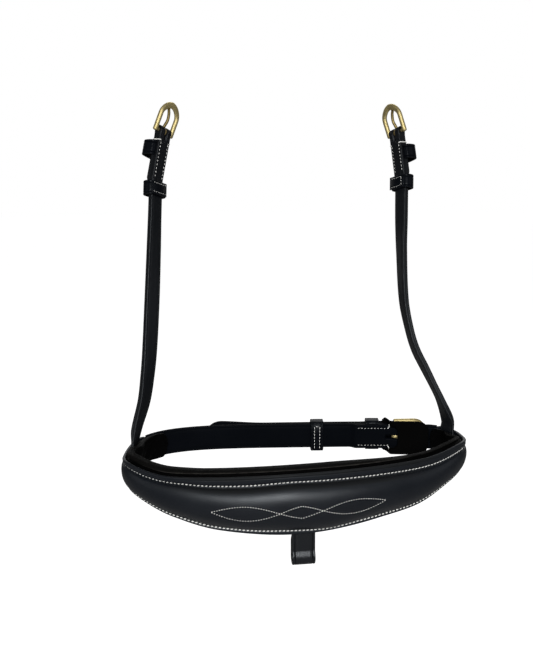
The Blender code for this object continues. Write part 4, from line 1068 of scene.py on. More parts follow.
def strap_ring(middle, across, through, half_width, half_thick, groove=0.0, crease=STRAP_CREASE):
    """Points and places across, round a strap with soft edges.

    groove marks the join of two layers along its edges, crease the lines pressed near them on its faces.
    """
    radius = min(EDGE_ROUND, 0.72 * half_thick, 0.45 * half_width)
    line = half_width - CREASE_INSET
    side, face = half_thick - radius, half_width - radius
    flat = [(a, half_thick) for a in between(face, line + CREASE_HALF_WIDTH, 2)]
    flat += [(line, half_thick - crease)]
    flat += [(a, half_thick) for a in between(line - CREASE_HALF_WIDTH, 0.35 * line, 3)]
    flat += [(-a, b) for a, b in reversed(flat)]
    if line < 0.002:
        flat = [(a, half_thick) for a in between(face, -face, len(flat))]
    turns = [0.5 * math.pi * k / 5 for k in range(1, 5)]
    round_edge = [(-face - radius * math.sin(t), side + radius * math.cos(t)) for t in turns]
    upper = round_edge + [(-half_width, side), (-half_width, 0.25 * side)]
    edge = upper + [(groove - half_width, 0.0)] + [(a, -b) for a, b in reversed(upper)]
    places = flat + edge
    places += [(-a, -b) for a, b in places]
    return [middle + across * a + through * b for a, b in places], [a for a, b in places]


def ring_strap(rows):
    """Rings and places of a strap that runs round the ring, from rows of s, out, width, thickness, groove."""
    rings, uvs = [], []
    for s, out, width, thick, groove in rows:
        point, along, outward = ring_frame(s)
        ring, across = strap_ring(point + outward * out, UP, outward, 0.5 * width, 0.5 * thick, groove)
        rings.append(ring)
        uvs.append([(s, a) for a in across])
    return rings, uvs


def turned_middle():
    return -CLEAR - 0.5 * TURNED_THICKNESS


def eye_radius(bar_radius):
    return bar_radius + CLEAR + EYE_LEATHER


def eye_rows(eye, thick):
    """Places past the bar's middle and thicknesses, round the eye at a turned strap's end."""
    settling = (-1.25, -1.0, -0.75, -0.55, -0.35, -0.15, 0.0)
    closing = (0.18, 0.35, 0.50, 0.65, 0.77, 0.87, 0.94, 0.985, 0.999)
    rows = [(share * eye, 2.0 * eye + (thick - 2.0 * eye) * smooth_step(-share / 1.25)) for share in settling]
    return rows + [(share * eye, 2.0 * eye * math.sqrt(1.0 - share ** 2)) for share in closing]


def crew_slot(place, eye, look):
    """Cutter for the slot that the tongue turns in, from a place on the bar's middle."""
    half = 0.5 * (CREW_SLOT_LENGTH + eye + CUT_OVERRUN)
    middle = place @ Matrix.Translation((0.0, half - CREW_SLOT_LENGTH, 0.0))
    return peg(middle, 3.0 * eye, 0.5 * TONGUE_RING_WIDTH + SLOT_ROOM, half, look)


def make_chin_buckle_strap(look):
    eye = eye_radius(CHIN_BAR_RADIUS)
    start = -(FRONT_HALF_LENGTH - STRAP_SEAT)
    bar = CHIN_BAR_AT - RING["length"]
    turned = bar + TURNED_LENGTH
    skived = turned + SKIVE_LENGTH
    single = -CLEAR - 0.5 * STRAP_THICKNESS
    width = CHIN_STRAP_WIDTH
    rows = [(s, single, width, STRAP_THICKNESS, 0.0) for s in even(start, skived, 0.003)]
    for k in range(1, 5):
        share = smooth_step(k / 5)
        thick = STRAP_THICKNESS + (TURNED_THICKNESS - STRAP_THICKNESS) * share
        rows.append((skived + (turned - skived) * k / 5, -CLEAR - 0.5 * thick, width, thick, SKIVE_GROOVE * share))
    for s in even(turned, bar + 1.6 * eye, 0.002):
        rows.append((s, turned_middle(), width, TURNED_THICKNESS, CHIN_JOIN_GROOVE))
    for past, thick in eye_rows(eye, TURNED_THICKNESS):
        rows.append((bar - past, turned_middle(), width, thick, 0.0))
    strap = skin_piece("chin_buckle_strap", *ring_strap(rows), look, smooth_deg=60.0)
    return cut_away(strap, [crew_slot(flat_chin_matrix(), eye, look)])


def flat_chin_matrix():
    return ring_matrix(CHIN_BAR_AT, turned_middle())


def chin_place():
    return flat_chin_matrix() @ Matrix.Rotation(math.radians(CHIN_TILT_DEG), 4, "X")


def billet_plan():
    """Places along the billet and how far out it runs there: under the bow, over the bar, through the keepers."""
    half = 0.5 * STRAP_THICKNESS
    eye = eye_radius(CHIN_BAR_RADIUS)
    bow_middle = chin_place() @ Vector((0.0, CHIN_BUCKLE_LENGTH - 0.5 * CHIN_BOW_WIDTH, 0.0))
    bow_s, bow_out = ring_reading(bow_middle)
    seat = -CLEAR - half
    under_bow = bow_out - 0.5 * CHIN_BOW_THICKNESS - 4.0 * CLEAR - half
    over_bar = max(eye + turned_middle(), GUARD_THICKNESS) + CLEAR + half
    return (
        (FRONT_HALF_LENGTH - STRAP_SEAT, seat), (FRONT_HALF_LENGTH + CLEAR, seat), (bow_s, under_bow),
        (CHIN_BAR_AT - eye, over_bar), (CHIN_KEEPER_AT - 0.5 * CHIN_KEEPER_BAND, over_bar),
        (CHIN_KEEPER_AT + CHIN_KEEPER_BAND, half), (CHIN_RUNNER_AT - CHIN_RUNNER_BAND, half),
        (CHIN_RUNNER_AT + 4.0 * CHIN_RUNNER_BAND, half), (BILLET_TIP_AT, half + BILLET_TIP_SPRING),
    )


def billet_out(s):
    places, outs = zip(*billet_plan())
    k = max(i for i, place in enumerate(places[:-1]) if s >= place or i == 0)
    share = smooth_step((s - places[k]) / (places[k + 1] - places[k]))
    return outs[k] + (outs[k + 1] - outs[k]) * share


def make_billet(look):
    body_end = BILLET_TIP_AT - BILLET_TIP_LENGTH
    stations = even(FRONT_HALF_LENGTH - STRAP_SEAT, body_end, 0.0024)
    tip_shares = (0.15, 0.3, 0.45, 0.58, 0.7, 0.8, 0.88, 0.94, 0.98, 0.998)
    stations += [body_end + share * BILLET_TIP_LENGTH for share in tip_shares]
    rows = []
    for s in stations:
        into = max(s - body_end, 0.0) / BILLET_TIP_LENGTH
        width = CHIN_STRAP_WIDTH * math.sqrt(max(1.0 - into * into, 0.0))
        rows.append((s, billet_out(s), width, STRAP_THICKNESS, 0.0))
    strap = skin_piece("chin_billet", *ring_strap(rows), look, smooth_deg=60.0)
    used = CHIN_BAR_AT - eye_radius(CHIN_BAR_RADIUS) - BILLET_HOLE_RADIUS
    holes = []
    for k in range(BILLET_SPARE_HOLES + 1):
        s = used + k * BILLET_HOLE_PITCH
        half_y = BILLET_HOLE_RADIUS * (USED_HOLE_STRETCH if k == 0 else 1.0)
        holes.append(peg(ring_matrix(s, billet_out(s)), 0.010, BILLET_HOLE_RADIUS, half_y, look))
    return cut_away(strap, holes)


def make_guard(look):
    """A tab behind the buckle: a rounded end, a step out past the bar, and a slot for the turned strap."""
    eye = eye_radius(CHIN_BAR_RADIUS)
    half = 0.5 * GUARD_THICKNESS
    inside = turned_middle() - eye - CLEAR - half
    step_start = CHIN_BAR_AT + CHIN_LEG_RADIUS + CLEAR + GUARD_STEP_SPACE
    step_end = step_start + GUARD_STEP_LENGTH
    tab_end = step_end + GUARD_TAB_LENGTH
    tip = CHIN_BAR_AT - GUARD_REACH
    stations = [tip + 0.0006 * GUARD_ROUND]
    stations += [tip + GUARD_ROUND * (1.0 - math.cos(0.5 * math.pi * k / 12)) for k in range(1, 12)]
    stations += even(tip + GUARD_ROUND, step_start, 0.0012)
    stations += even(step_start, step_end, 0.0005)[1:] + even(step_end, tab_end, 0.001)[1:]
    rows = []
    for s in stations:
        out = inside + (half - inside) * smooth_step((s - step_start) / GUARD_STEP_LENGTH)
        near = max(tip + GUARD_ROUND - s, 0.0) / GUARD_ROUND
        width = GUARD_WIDTH - 2.0 * GUARD_ROUND * (1.0 - math.sqrt(max(1.0 - near * near, 0.0)))
        width -= 2.0 * GUARD_THICKNESS * smooth_step((s - tab_end + 0.002) / 0.002)
        lift = (CHIN_BAR_AT - s) / GUARD_REACH if s < CHIN_BAR_AT else 0.0
        rows.append((s, out + lift * lift * (0.5 * eye), width, GUARD_THICKNESS, 0.0))
    guard = skin_piece("chin_buckle_guard", *ring_strap(rows), look, smooth_deg=60.0)
    slot_from = CHIN_BAR_AT - GUARD_SLOT_BACK
    slot = ring_matrix(0.5 * (slot_from + step_end), turned_middle())
    depth = 2.0 * (TURNED_THICKNESS + 2.0 * eye)
    half_x = 0.5 * CHIN_STRAP_WIDTH - GUARD_SLOT_HUG
    return cut_away(guard, [peg(slot, depth, half_x, 0.5 * (step_end - slot_from), look)])


# Bands: keepers and flash loop

def sweep_band(name, path, normals, side, width, thick, look, closed, crease=BAND_CREASE):
    """A leather band along a path of points on its inner face, with its faces square to normals."""
    rings, uvs = [], []
    length = 0.0
    for i, (point, normal) in enumerate(zip(path, normals)):
        if i:
            length += (point - path[i - 1]).length
        middle = point + normal * (0.5 * thick)
        ring, across = strap_ring(middle, side, normal, 0.5 * width, 0.5 * thick, 0.0, crease)
        rings.append(ring)
        uvs.append([(length, a) for a in across])
    return skin_piece(name, rings, uvs, look, closed, 60.0)


def rounded_loop(half, low, high, low_round, high_round, bulge):
    """Points and outward normals round a soft-cornered opening, its walls a little bowed."""
    corners = (
        (Vector((half - high_round, high - high_round)), high_round),
        (Vector((high_round - half, high - high_round)), high_round),
        (Vector((low_round - half, low + low_round)), low_round),
        (Vector((half - low_round, low + low_round)), low_round),
    )
    points, normals = [], []
    for n, (middle, radius) in enumerate(corners):
        for k in range(7):
            t = math.radians(90.0 * n + 15.0 * k)
            normals.append(Vector((math.cos(t), math.sin(t))))
            points.append(middle + normals[-1] * radius)
        after, after_radius = corners[(n + 1) % 4]
        out = normals[-1]
        first, last = points[-1], after + out * after_radius
        for share in (0.15, 0.3, 0.5, 0.7, 0.85):
            bow = bulge * 4.0 * share * (1.0 - share) * (last - first).length
            points.append(first.lerp(last, share) + out * bow)
            normals.append(out)
    return points, normals


class Keeper:
    """A leather keeper: a closed band round a strap, with the patch where its ends are lapped and sewn."""

    def __init__(self, name, place, sides, walls, band, corners, bulge=0.0):
        self.name, self.place, self.band = name, place, band
        self.half, (self.low, self.high) = sides, walls
        self.corners, self.bulge = corners, bulge

    def at(self, a, along, b):
        return self.place @ Vector((a, along, b))

    def turned(self, a, along, b):
        return self.place.to_3x3() @ Vector((a, along, b))

    def make(self, look):
        flat, outs = rounded_loop(self.half, self.low, self.high, *self.corners, self.bulge)
        path = [self.at(p.x, 0.0, p.y) for p in flat]
        normals = [self.turned(n.x, 0.0, n.y) for n in outs]
        side = self.turned(0.0, 1.0, 0.0)
        return sweep_band(self.name, path, normals, side, self.band, KEEPER_LEATHER, look, True)

    def lap(self, start, end, look):
        """The second layer on the inner wall, from start to end across it, its ends bevelled."""
        level = self.low - KEEPER_LEATHER + LAP_SINK
        bevel = math.copysign(LAP_BEVEL, end - start)
        places = [
            (start, level + LAP_INSET), (start + bevel, level), (0.5 * (start + end), level),
            (end - bevel, level), (end, level + LAP_INSET),
        ]
        path = [self.at(a, 0.0, b) for a, b in places]
        normals = [self.turned(0.0, 0.0, -1.0)] * len(path)
        side, width = self.turned(0.0, 1.0, 0.0), self.band - 2.0 * LAP_INSET
        return sweep_band(self.name + "_lap", path, normals, side, width, LAP_LEATHER, look, False)

    def seam(self, corners, pitch):
        """Stitch places along lines on the lap, through corners given across and along the strap."""
        level = self.low - KEEPER_LEATHER - LAP_LEATHER + LAP_SINK
        out = self.turned(0.0, 0.0, -1.0)
        rows = []
        for line in corners:
            for (a0, y0), (a1, y1) in zip(line, line[1:]):
                count = max(int(round(math.hypot(a1 - a0, y1 - y0) / pitch)), 1)
                along = self.turned(a1 - a0, y1 - y0, 0.0).normalized()
                for k in range(count):
                    share = (k + 0.5) / count
                    place = self.at(a0 + (a1 - a0) * share, y0 + (y1 - y0) * share, level)
                    rows.append((place, along, out))
        return rows


def make_flash_loop(look):
    """A strip sewn behind the front's lower edge: down, out round its fold and back up inside itself."""
    bottom = packed_bottom(0.0)
    front = front_lean(0.0, 0.0) - CLEAR
    sewn = front - LOOP_LEATHER
    inside = 0.5 * LOOP_ROOM
    middle_out = front + LOOP_BULGE - inside - LOOP_LEATHER
    fold = bottom - LOOP_DROP + inside + LOOP_LEATHER
    outline = [(sewn, bottom + LOOP_TAB), (sewn, bottom + 0.4 * LOOP_TAB)]
    outline += [(sewn, bottom - 0.20 * LOOP_DROP), (sewn, bottom - 0.40 * LOOP_DROP)]
    for k in range(13):
        share = k / 12
        outline.append((sewn + LOOP_BULGE * smooth_step(share), bottom - (0.52 + 0.24 * share) * LOOP_DROP))
    for k in range(1, 16):
        a = math.pi * k / 16
        outline.append((middle_out + inside * math.cos(a), fold - inside * math.sin(a)))
    back = middle_out - inside
    outline.append((back, bottom - 0.34 * LOOP_DROP))
    for k in range(1, 9):
        up = bottom - 0.34 * LOOP_DROP * (1.0 - k / 8) - CLEAR
        outline.append((back + (sewn - back) * smooth_step(k / 8), up))
    outline.append((sewn - 0.0001, bottom + LOOP_TAB - 0.0005))
    point, along, outward = ring_frame(LOOP_AT)
    path = [point + outward * o + UP * z for o, z in outline]
    normals = []
    for i in range(len(path)):
        step = path[min(i + 1, len(path) - 1)] - path[max(i - 1, 0)]
        normals.append(step.cross(along).normalized())
    if normals[4].dot(outward) < 0.0:
        normals = [-n for n in normals]
    return sweep_band("flash_strap_loop", path, normals, along, LOOP_WIDTH, LOOP_LEATHER, look, False, LOOP_CREASE)


# Brass

def tube_ring(middle, across, through, half_a, half_b, sides, flat_share=0.0):
    """An oval of points, its top and bottom cut a little flat where flat_share is 1."""
    limit = 1.0 - 0.10 * flat_share
    ring = []
    for i in range(sides):
        angle = 2.0 * math.pi * (i + 0.5) / sides
        b = max(-limit, min(limit, math.sin(angle))) / limit
        ring.append(middle + across * (half_a * math.cos(angle)) + through * (half_b * b))
    return ring


def make_buckle(name, place, span, length, bar_radius, leg_radius, bow_width, bow_thickness, bow_round, look):
    """A cast frame: bar, two round legs and a bow swaged wide and flat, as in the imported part."""
    path = []
    foot = -bar_radius - 0.15 * leg_radius
    straight = length - bow_round
    path.append((-span, foot, 0.0, 0.0, 0.55))
    path.append((-span, foot + 0.18 * leg_radius, 0.0, 0.0, 0.86))
    for y in even(foot + 0.5 * leg_radius, straight, 0.0014):
        path.append((-span, y, 0.0, 0.0, 1.0))
    for k in range(1, 19):
        angle = 0.5 * math.pi * k / 18
        x = -span + bow_round * (1.0 - math.cos(angle))
        path.append((x, straight + bow_round * math.sin(angle), angle, smooth_step(angle / (0.24 * math.pi)), 1.0))
    if span - bow_round > leg_radius:
        path += [(x, length, 0.5 * math.pi, 1.0, 1.0) for x in even(bow_round - span, 0.0, 0.001)[1:]]
    mirrored = [(-x, y, math.pi - angle, flat, size) for x, y, angle, flat, size in reversed(path[:-1])]
    bm = bmesh.new()
    rings, uvs = [], []
    for x, y, angle, flat, size in path + mirrored:
        along = Vector((math.sin(angle), math.cos(angle), 0.0))
        across = UP.cross(along)
        half_a = (leg_radius + (0.5 * bow_width - leg_radius) * flat) * size
        half_b = (leg_radius + (0.5 * bow_thickness - leg_radius) * flat) * size
        inward = across * ((half_a - leg_radius * size) * 0.6 * math.sin(2.0 * angle)) if angle else Vector()
        if inward.dot(Vector((-x, 0.4 * length - y, 0.0))) < 0.0:
            inward = -inward
        ring = tube_ring(Vector((x, y, 0.0)) + inward, across, UP, half_a, half_b, 24, flat)
        rings.append([place @ p for p in ring])
        uvs.append([(x, y)] * 24)
    wrap_skin(bm, rings, uvs)
    bar = []
    for x in (-span, span):
        ring = tube_ring(Vector((x, 0.0, 0.0)), Vector((0.0, 1.0, 0.0)), UP, bar_radius, bar_radius, 20)
        bar.append([place @ p for p in ring])
    wrap_skin(bm, bar, [[(x, 0.0)] * 20 for x in (-span, span)])
    return mesh_piece(name, bm, look, 45.0)


def squarer(value):
    """A sine or cosine pushed outwards, for a circle with squarer corners."""
    return math.copysign(abs(value) ** 0.6, value)


def lengths_along(points):
    """Length of a line of points up to each of them."""
    spans = [0.0]
    for a, b in zip(points, points[1:]):
        spans.append(spans[-1] + (b - a).length)
    return spans


def make_tongue(name, place, route, bar_radius, radius, look):
    """A tongue: a ring round the bar and a pin that tapers to rest on the bow."""
    sideways = Vector((1.0, 0.0, 0.0))
    bm = bmesh.new()
    ys, zs = zip(*route)
    spans = lengths_along([Vector(p) for p in route])
    shares = [v / spans[-1] for v in spans]
    steps = between(0.0, 1.0, 40)
    line = [Vector((0.0, curve_through(t, shares, ys), curve_through(t, shares, zs))) for t in steps]
    rings, uvs = [], []
    for k, middle in enumerate(line):
        along = (line[min(k + 1, 39)] - line[max(k - 1, 0)]).normalized()
        size = radius * (1.0 - 0.12 * k / 39)
        if k > 36:
            size *= math.sqrt(max(1.0 - ((k - 36) / 3.2) ** 2, 0.02))
        rings.append([place @ p for p in tube_ring(middle, sideways, sideways.cross(along), size, size, 16)])
        uvs.append([(k * 0.001, 0.0)] * 16)
    wrap_skin(bm, rings, uvs)
    inner = bar_radius + 0.5 * CLEAR
    outer = bar_radius + CLEAR + TONGUE_RING_WALL
    loops = []
    for k in range(28):
        angle = 2.0 * math.pi * k / 28
        ray = Vector((0.0, math.cos(angle), math.sin(angle)))
        ring = []
        for i in range(12):
            turn = 2.0 * math.pi * i / 12
            out = 0.5 * (inner + outer) + 0.5 * (outer - inner) * squarer(math.cos(turn))
            ring.append(place @ (ray * out + sideways * (0.5 * TONGUE_RING_WIDTH * squarer(math.sin(turn)))))
        loops.append(ring)
    # The ring is marked with u of 1, where the finish paints it brighter
    wrap_skin(bm, loops, [[(1.0, 0.0)] * 12] * 28, True)
    return mesh_piece(name, bm, look, 45.0)


# Stitches

def stitch_tree():
    """Geometry nodes that lay one short rounded stitch on every point, along and square to it."""
    tree = bpy.data.node_groups.new("row_of_stitches", "GeometryNodeTree")
    face = tree.interface
    face.new_socket("Geometry", in_out="INPUT", socket_type="NodeSocketGeometry")
    for name, default in (("Length", 0.003), ("Width", 0.0007), ("Height", 0.0006), ("Slant", 0.0)):
        face.new_socket(name, in_out="INPUT", socket_type="NodeSocketFloat").default_value = default
    face.new_socket("Seed", in_out="INPUT", socket_type="NodeSocketInt").default_value = STITCH_SEED
    face.new_socket("Thread", in_out="INPUT", socket_type="NodeSocketMaterial")
    face.new_socket("Geometry", in_out="OUTPUT", socket_type="NodeSocketGeometry")

    def add(kind, settings=None, values=None):
        made = tree.nodes.new(kind)
        for key, value in (settings or {}).items():
            setattr(made, key, value)
        for key, value in (values or {}).items():
            if isinstance(value, bpy.types.NodeSocket):
                tree.links.new(value, made.inputs[key])
            else:
                made.inputs[key].default_value = value
        return made

    given = add("NodeGroupInput").outputs
    ball = add("GeometryNodeMeshUVSphere", None, {"Segments": 10, "Rings": 7, "Radius": 0.5})
    on_its_side = (0.0, 0.5 * math.pi, 0.0)
    lying = add("GeometryNodeTransform", None, {"Geometry": ball.outputs["Mesh"], "Rotation": on_its_side})
    marked = add("GeometryNodeStoreNamedAttribute", {"data_type": "FLOAT2", "domain": "CORNER"},
                 {"Geometry": lying.outputs[0], "Name": "UVMap", "Value": ball.outputs["UV Map"]})
    smooth = add("GeometryNodeSetShadeSmooth", None, {"Geometry": marked.outputs[0]})
    along = add("GeometryNodeInputNamedAttribute", {"data_type": "FLOAT_VECTOR"}, {"Name": "along"})
    up = add("GeometryNodeInputNamedAttribute", {"data_type": "FLOAT_VECTOR"}, {"Name": "outward"})
    axes = add("FunctionNodeAxesToRotation", {"primary_axis": "X", "secondary_axis": "Z"},
               {"Primary Axis": along.outputs["Attribute"], "Secondary Axis": up.outputs["Attribute"]})
    wobble = add("FunctionNodeRandomValue", {"data_type": "FLOAT"}, {"Seed": given["Seed"]})
    wobble.inputs[2].default_value = -0.07
    wobble.inputs[3].default_value = 0.07
    angle = add("ShaderNodeMath", {"operation": "ADD"}, {0: given["Slant"], 1: wobble.outputs[1]})
    tilt = add("ShaderNodeCombineXYZ", None, {"Z": angle.outputs[0]})
    turned = add("FunctionNodeRotateRotation", {"rotation_space": "LOCAL"}, {"Rotation": axes.outputs[0]})
    euler = add("FunctionNodeEulerToRotation", None, {0: tilt.outputs[0]})
    tree.links.new(euler.outputs[0], turned.inputs["Rotate By"])
    size = add("ShaderNodeCombineXYZ", None, {"X": given["Length"], "Y": given["Width"], "Z": given["Height"]})
    laid = add("GeometryNodeInstanceOnPoints", None, {
        "Points": given["Geometry"], "Instance": smooth.outputs[0],
        "Rotation": turned.outputs[0], "Scale": size.outputs[0],
    })
    real = add("GeometryNodeRealizeInstances", None, {"Geometry": laid.outputs[0]})
    dressed = add("GeometryNodeSetMaterial", None, {"Geometry": real.outputs[0], "Material": given["Thread"]})
    add("NodeGroupOutput", None, {"Geometry": dressed.outputs[0]})
    return tree


def sew(name, points, stitch, looks):
    """Stitches on points, each with its direction and outward normal, as one mesh."""
    mesh = bpy.data.meshes.new(name)
    mesh.from_pydata([tuple(p[0]) for p in points], [], [])
    for key, k in (("along", 1), ("outward", 2)):
        layer = mesh.attributes.new(key, "FLOAT_VECTOR", "POINT")
        layer.data.foreach_set("vector", [c for p in points for c in p[k]])
    row = add_to_scene(name, mesh)
    step = row.modifiers.new("stitches", "NODES")
    step.node_group = looks["stitches"]
    sizes = dict(zip(("Length", "Width", "Height", "Slant"), stitch))
    sizes.update({"Seed": STITCH_SEED, "Thread": looks["thread"]})
    for item in step.node_group.interface.items_tree:
        if item.in_out == "INPUT" and item.name in sizes:
            step[item.identifier] = sizes[item.name]
    return settled(row)


def evenly_along(path, pitch):
    """Points about a pitch apart, filling a dense path of (point, direction, normal)."""
    spans = lengths_along([row[0] for row in path])
    count = max(int(round(spans[-1] / pitch)), 1)
    out, k = [], 0
    for n in range(count):
        want = (n + 0.5) * (spans[-1] / count)
        while k < len(spans) - 2 and spans[k + 1] < want:
            k += 1
        share = (want - spans[k]) / max(spans[k + 1] - spans[k], 1e-9)
        a, b = path[k], path[k + 1]
        out.append((a[0].lerp(b[0], share), (b[0] - a[0]).normalized(), a[2].lerp(b[2], share).normalized()))
    return out


def tube_piece(name, points, radius, look):
    """A thick thread through points, thin at both ends."""
    rings, uvs = [], []
    last = len(points) - 1
    for i, (point, length) in enumerate(zip(points, lengths_along(points))):
        along = (points[min(i + 1, last)] - points[max(i - 1, 0)]).normalized()
        across = along.cross(along.orthogonal().normalized()).normalized()
        through = across.cross(along).normalized()
        size = radius * (0.35 if i in (0, last) else 1.0)
        rings.append(tube_ring(point, across, through, size, size, 10))
        uvs.append([(length / TWIST_LENGTH, k / 10) for k in range(10)])
    return skin_piece(name, rings, uvs, look, smooth_deg=60.0)


def wrapped_edge(name, place, half, thick, inset, side, look):
    """A thick thread laid over the edge of a strap, from one face to the other."""
    over = half - 0.0008
    upper = [(inset, thick), (over, thick + 0.00035)]
    upper += [(half + 0.00025, thick - 0.0007), (half + 0.0004, 0.5 * thick)]
    outline = upper + [(a, -b) for a, b in reversed(upper)]
    points = [place @ Vector((side * a, 0.6 * min(a - over, 0.0), b)) for a, b in outline]
    return tube_piece(name, points, END_THREAD_RADIUS, look)


# The two cheek straps

def square_to(along, outward):
    return (outward - along * outward.dot(along)).normalized()


class CheekStrap:
    """One cheek strap: where it runs, which way its face turns and what it carries.

    Heights go up the strap from its root, drops go down it from the bar at its top.
    """

    def __init__(self, side, route, turns, root_at, length, turned_length, fixed_drop, runner_drop, thread_drop):
        self.side = side
        self.name = "right" if side > 0.0 else "left"
        self.root_at, self.length, self.turned_length = root_at, length, turned_length
        self.fixed_drop, self.runner_drop, self.thread_drop = fixed_drop, runner_drop, thread_drop
        self.lean = math.radians(CHEEK_LEAN_DEG)
        self.out = -CLEAR - CHEEK_ROOT_INSET - 0.5 * CHEEK_ROOT_THICKNESS
        self.root = on_ring(side * root_at, self.out, CHEEK_ROOT_LEVEL)
        self.heights, self.runs = zip(*route)
        root_out = ring_frame(side * root_at)[2]
        turns = ((0.0, math.degrees(math.atan2(root_out.y, abs(root_out.x)))),) + turns
        self.turn_places, self.turns = zip(*turns)

    def middle(self, height):
        if height <= 0.0:
            s = self.side * (self.root_at + height * math.sin(self.lean))
            return on_ring(s, self.out, CHEEK_ROOT_LEVEL + height * math.cos(self.lean))
        sideways = self.length * curve_through(height / self.length, self.heights, self.runs)
        return self.root + Vector((sideways, height * math.sin(self.lean), height * math.cos(self.lean)))

    def frame(self, height):
        """Matrix at a height: X across the strap, Y up it, Z out of its outer face."""
        above = min(height + CHEEK_STEP, self.length)
        along = (self.middle(above) - self.middle(height - CHEEK_STEP)).normalized()
        if height <= 0.0:
            outward = ring_frame(self.side * (self.root_at + height * math.sin(self.lean)))[2]
        else:
            turn = math.radians(curve_through(height / self.length, self.turn_places, self.turns))
            outward = Vector((self.side * math.cos(turn), math.sin(turn), 0.0))
        return axes_at(self.middle(height), along, square_to(along, outward))

    def below_bar(self, drop):
        return self.frame(self.length) @ Matrix.Translation((0.0, -drop, 0.0))

    def runner_place(self):
        """Where the sliding keeper sits, turned to slide straight to the end of its travel."""
        height = self.length - self.runner_drop
        high = self.frame(height)
        along = (high.translation - self.middle(height - CHEEK_RUNNER_TRAVEL)).normalized()
        return axes_at(high.translation, along, square_to(along, high.col[2].to_3d()))

    def strap_rows(self, eye):
        """Place, height, thickness and side groove of each ring of points round the strap."""
        turned = self.length - self.turned_length
        rows = []
        for height in even(-CHEEK_ROOT_DEPTH, turned - SKIVE_LENGTH, 0.0024):
            thicker = (CHEEK_THICKNESS - CHEEK_ROOT_THICKNESS) * smooth_step(height / CHEEK_SKIVE)
            rows.append((self.frame(height), height, CHEEK_ROOT_THICKNESS + thicker, EDGE_GROOVE))
        last, first = self.frame(turned - SKIVE_LENGTH), self.below_bar(self.turned_length)
        for k in range(1, 5):
            share = k / 5
            thick = CHEEK_THICKNESS + (CHEEK_TURNED_THICKNESS - CHEEK_THICKNESS) * smooth_step(share)
            rows.append((last.lerp(first, share), turned - SKIVE_LENGTH * (1.0 - share), thick, SKIVE_GROOVE))
        for past in even(-self.turned_length, -2.0 * eye, 0.0016):
            rows.append((self.below_bar(-past), self.length + past, CHEEK_TURNED_THICKNESS, CHEEK_JOIN_GROOVE))
        for past, thick in eye_rows(eye, CHEEK_TURNED_THICKNESS):
            rows.append((self.below_bar(-past), self.length + past, thick, 0.0))
        return rows

    def make_strap(self, look):
        eye = eye_radius(CHEEK_BAR_RADIUS)
        rings, uvs = [], []
        for place, height, thick, groove in self.strap_rows(eye):
            side, face = place.col[0].to_3d(), place.col[2].to_3d()
            ring, across = strap_ring(place.translation, side, face, 0.5 * CHEEK_WIDTH, 0.5 * thick, groove)
            rings.append(ring)
            uvs.append([(height, a) for a in across])
        strap = skin_piece("cheek_leather_" + self.name, rings, uvs, look, smooth_deg=60.0)
        return cut_away(strap, [crew_slot(self.below_bar(0.0), eye, look)])

    def keepers(self):
        """The sewn keeper below the buckle and the sliding one below that."""
        half = 0.5 * CHEEK_WIDTH + CHEEK_SIDE_ROOM
        walls = (0.5 * KEEPER_LEATHER, 0.5 * CHEEK_TURNED_THICKNESS + CHEEK_KEEPER_OPENING)
        fixed = Keeper("cheek_sewn_keeper_" + self.name, self.below_bar(self.fixed_drop), half, walls,
                       CHEEK_FIXED_BAND, CHEEK_FIXED_CORNERS, CHEEK_FIXED_BULGE)
        low = -0.5 * CHEEK_THICKNESS - CHEEK_RUNNER_ROOM
        walls = (low, low + CHEEK_KEEPER_OPENING + CHEEK_RUNNER_ROOM)
        runner = Keeper("cheek_sliding_keeper_" + self.name, self.runner_place(), half, walls,
                        CHEEK_RUNNER_BAND, CHEEK_RUNNER_CORNERS, CHEEK_RUNNER_BULGE)
        return fixed, runner

    def runner_lines(self, half):
        """Stitch lines on the sliding keeper's lap: two rows on the left, three sides of a box on the right."""
        edge = 0.5 * CHEEK_RUNNER_BAND - 0.0021
        if self.side < 0.0:
            return [((half, h), (-0.84 * half, h)) for h in (edge, -edge)]
        start, end = 0.85 * half, -0.60 * half
        return [((start, edge), (end, edge), (end, -edge), (start, -edge))]

    def make_buckle(self, look, pin):
        lean = Matrix.Rotation(-math.radians(CHEEK_BUCKLE_LEAN_DEG), 4, "X")
        place = self.below_bar(0.0) @ lean
        span = 0.5 * CHEEK_WIDTH + CHEEK_LEG_ROOM + CHEEK_LEG_RADIUS
        made = make_buckle("cheek_brass_frame_" + self.name, place, span, CHEEK_BUCKLE_LENGTH, CHEEK_BAR_RADIUS,
                           CHEEK_LEG_RADIUS, CHEEK_BOW_WIDTH, CHEEK_BOW_THICKNESS, span, look)
        rest = 0.5 * CHEEK_BOW_THICKNESS + CLEAR + CHEEK_TONGUE_RADIUS
        ring = CHEEK_BAR_RADIUS + CLEAR + 0.5 * TONGUE_RING_WALL
        route = [
            (0.6 * ring, 0.6 * ring), (2.0 * ring, 0.4 * ring), (0.45 * CHEEK_BUCKLE_LENGTH, -0.10 * ring),
            (0.70 * CHEEK_BUCKLE_LENGTH, 0.35 * rest), (CHEEK_BUCKLE_LENGTH - 0.5 * CHEEK_BOW_WIDTH, rest),
            (CHEEK_BUCKLE_LENGTH + 0.5 * CHEEK_BOW_WIDTH + CHEEK_TONGUE_REACH, rest),
        ]
        name = "cheek_brass_tongue_" + self.name
        return made, make_tongue(name, place, route, CHEEK_BAR_RADIUS, CHEEK_TONGUE_RADIUS, pin)

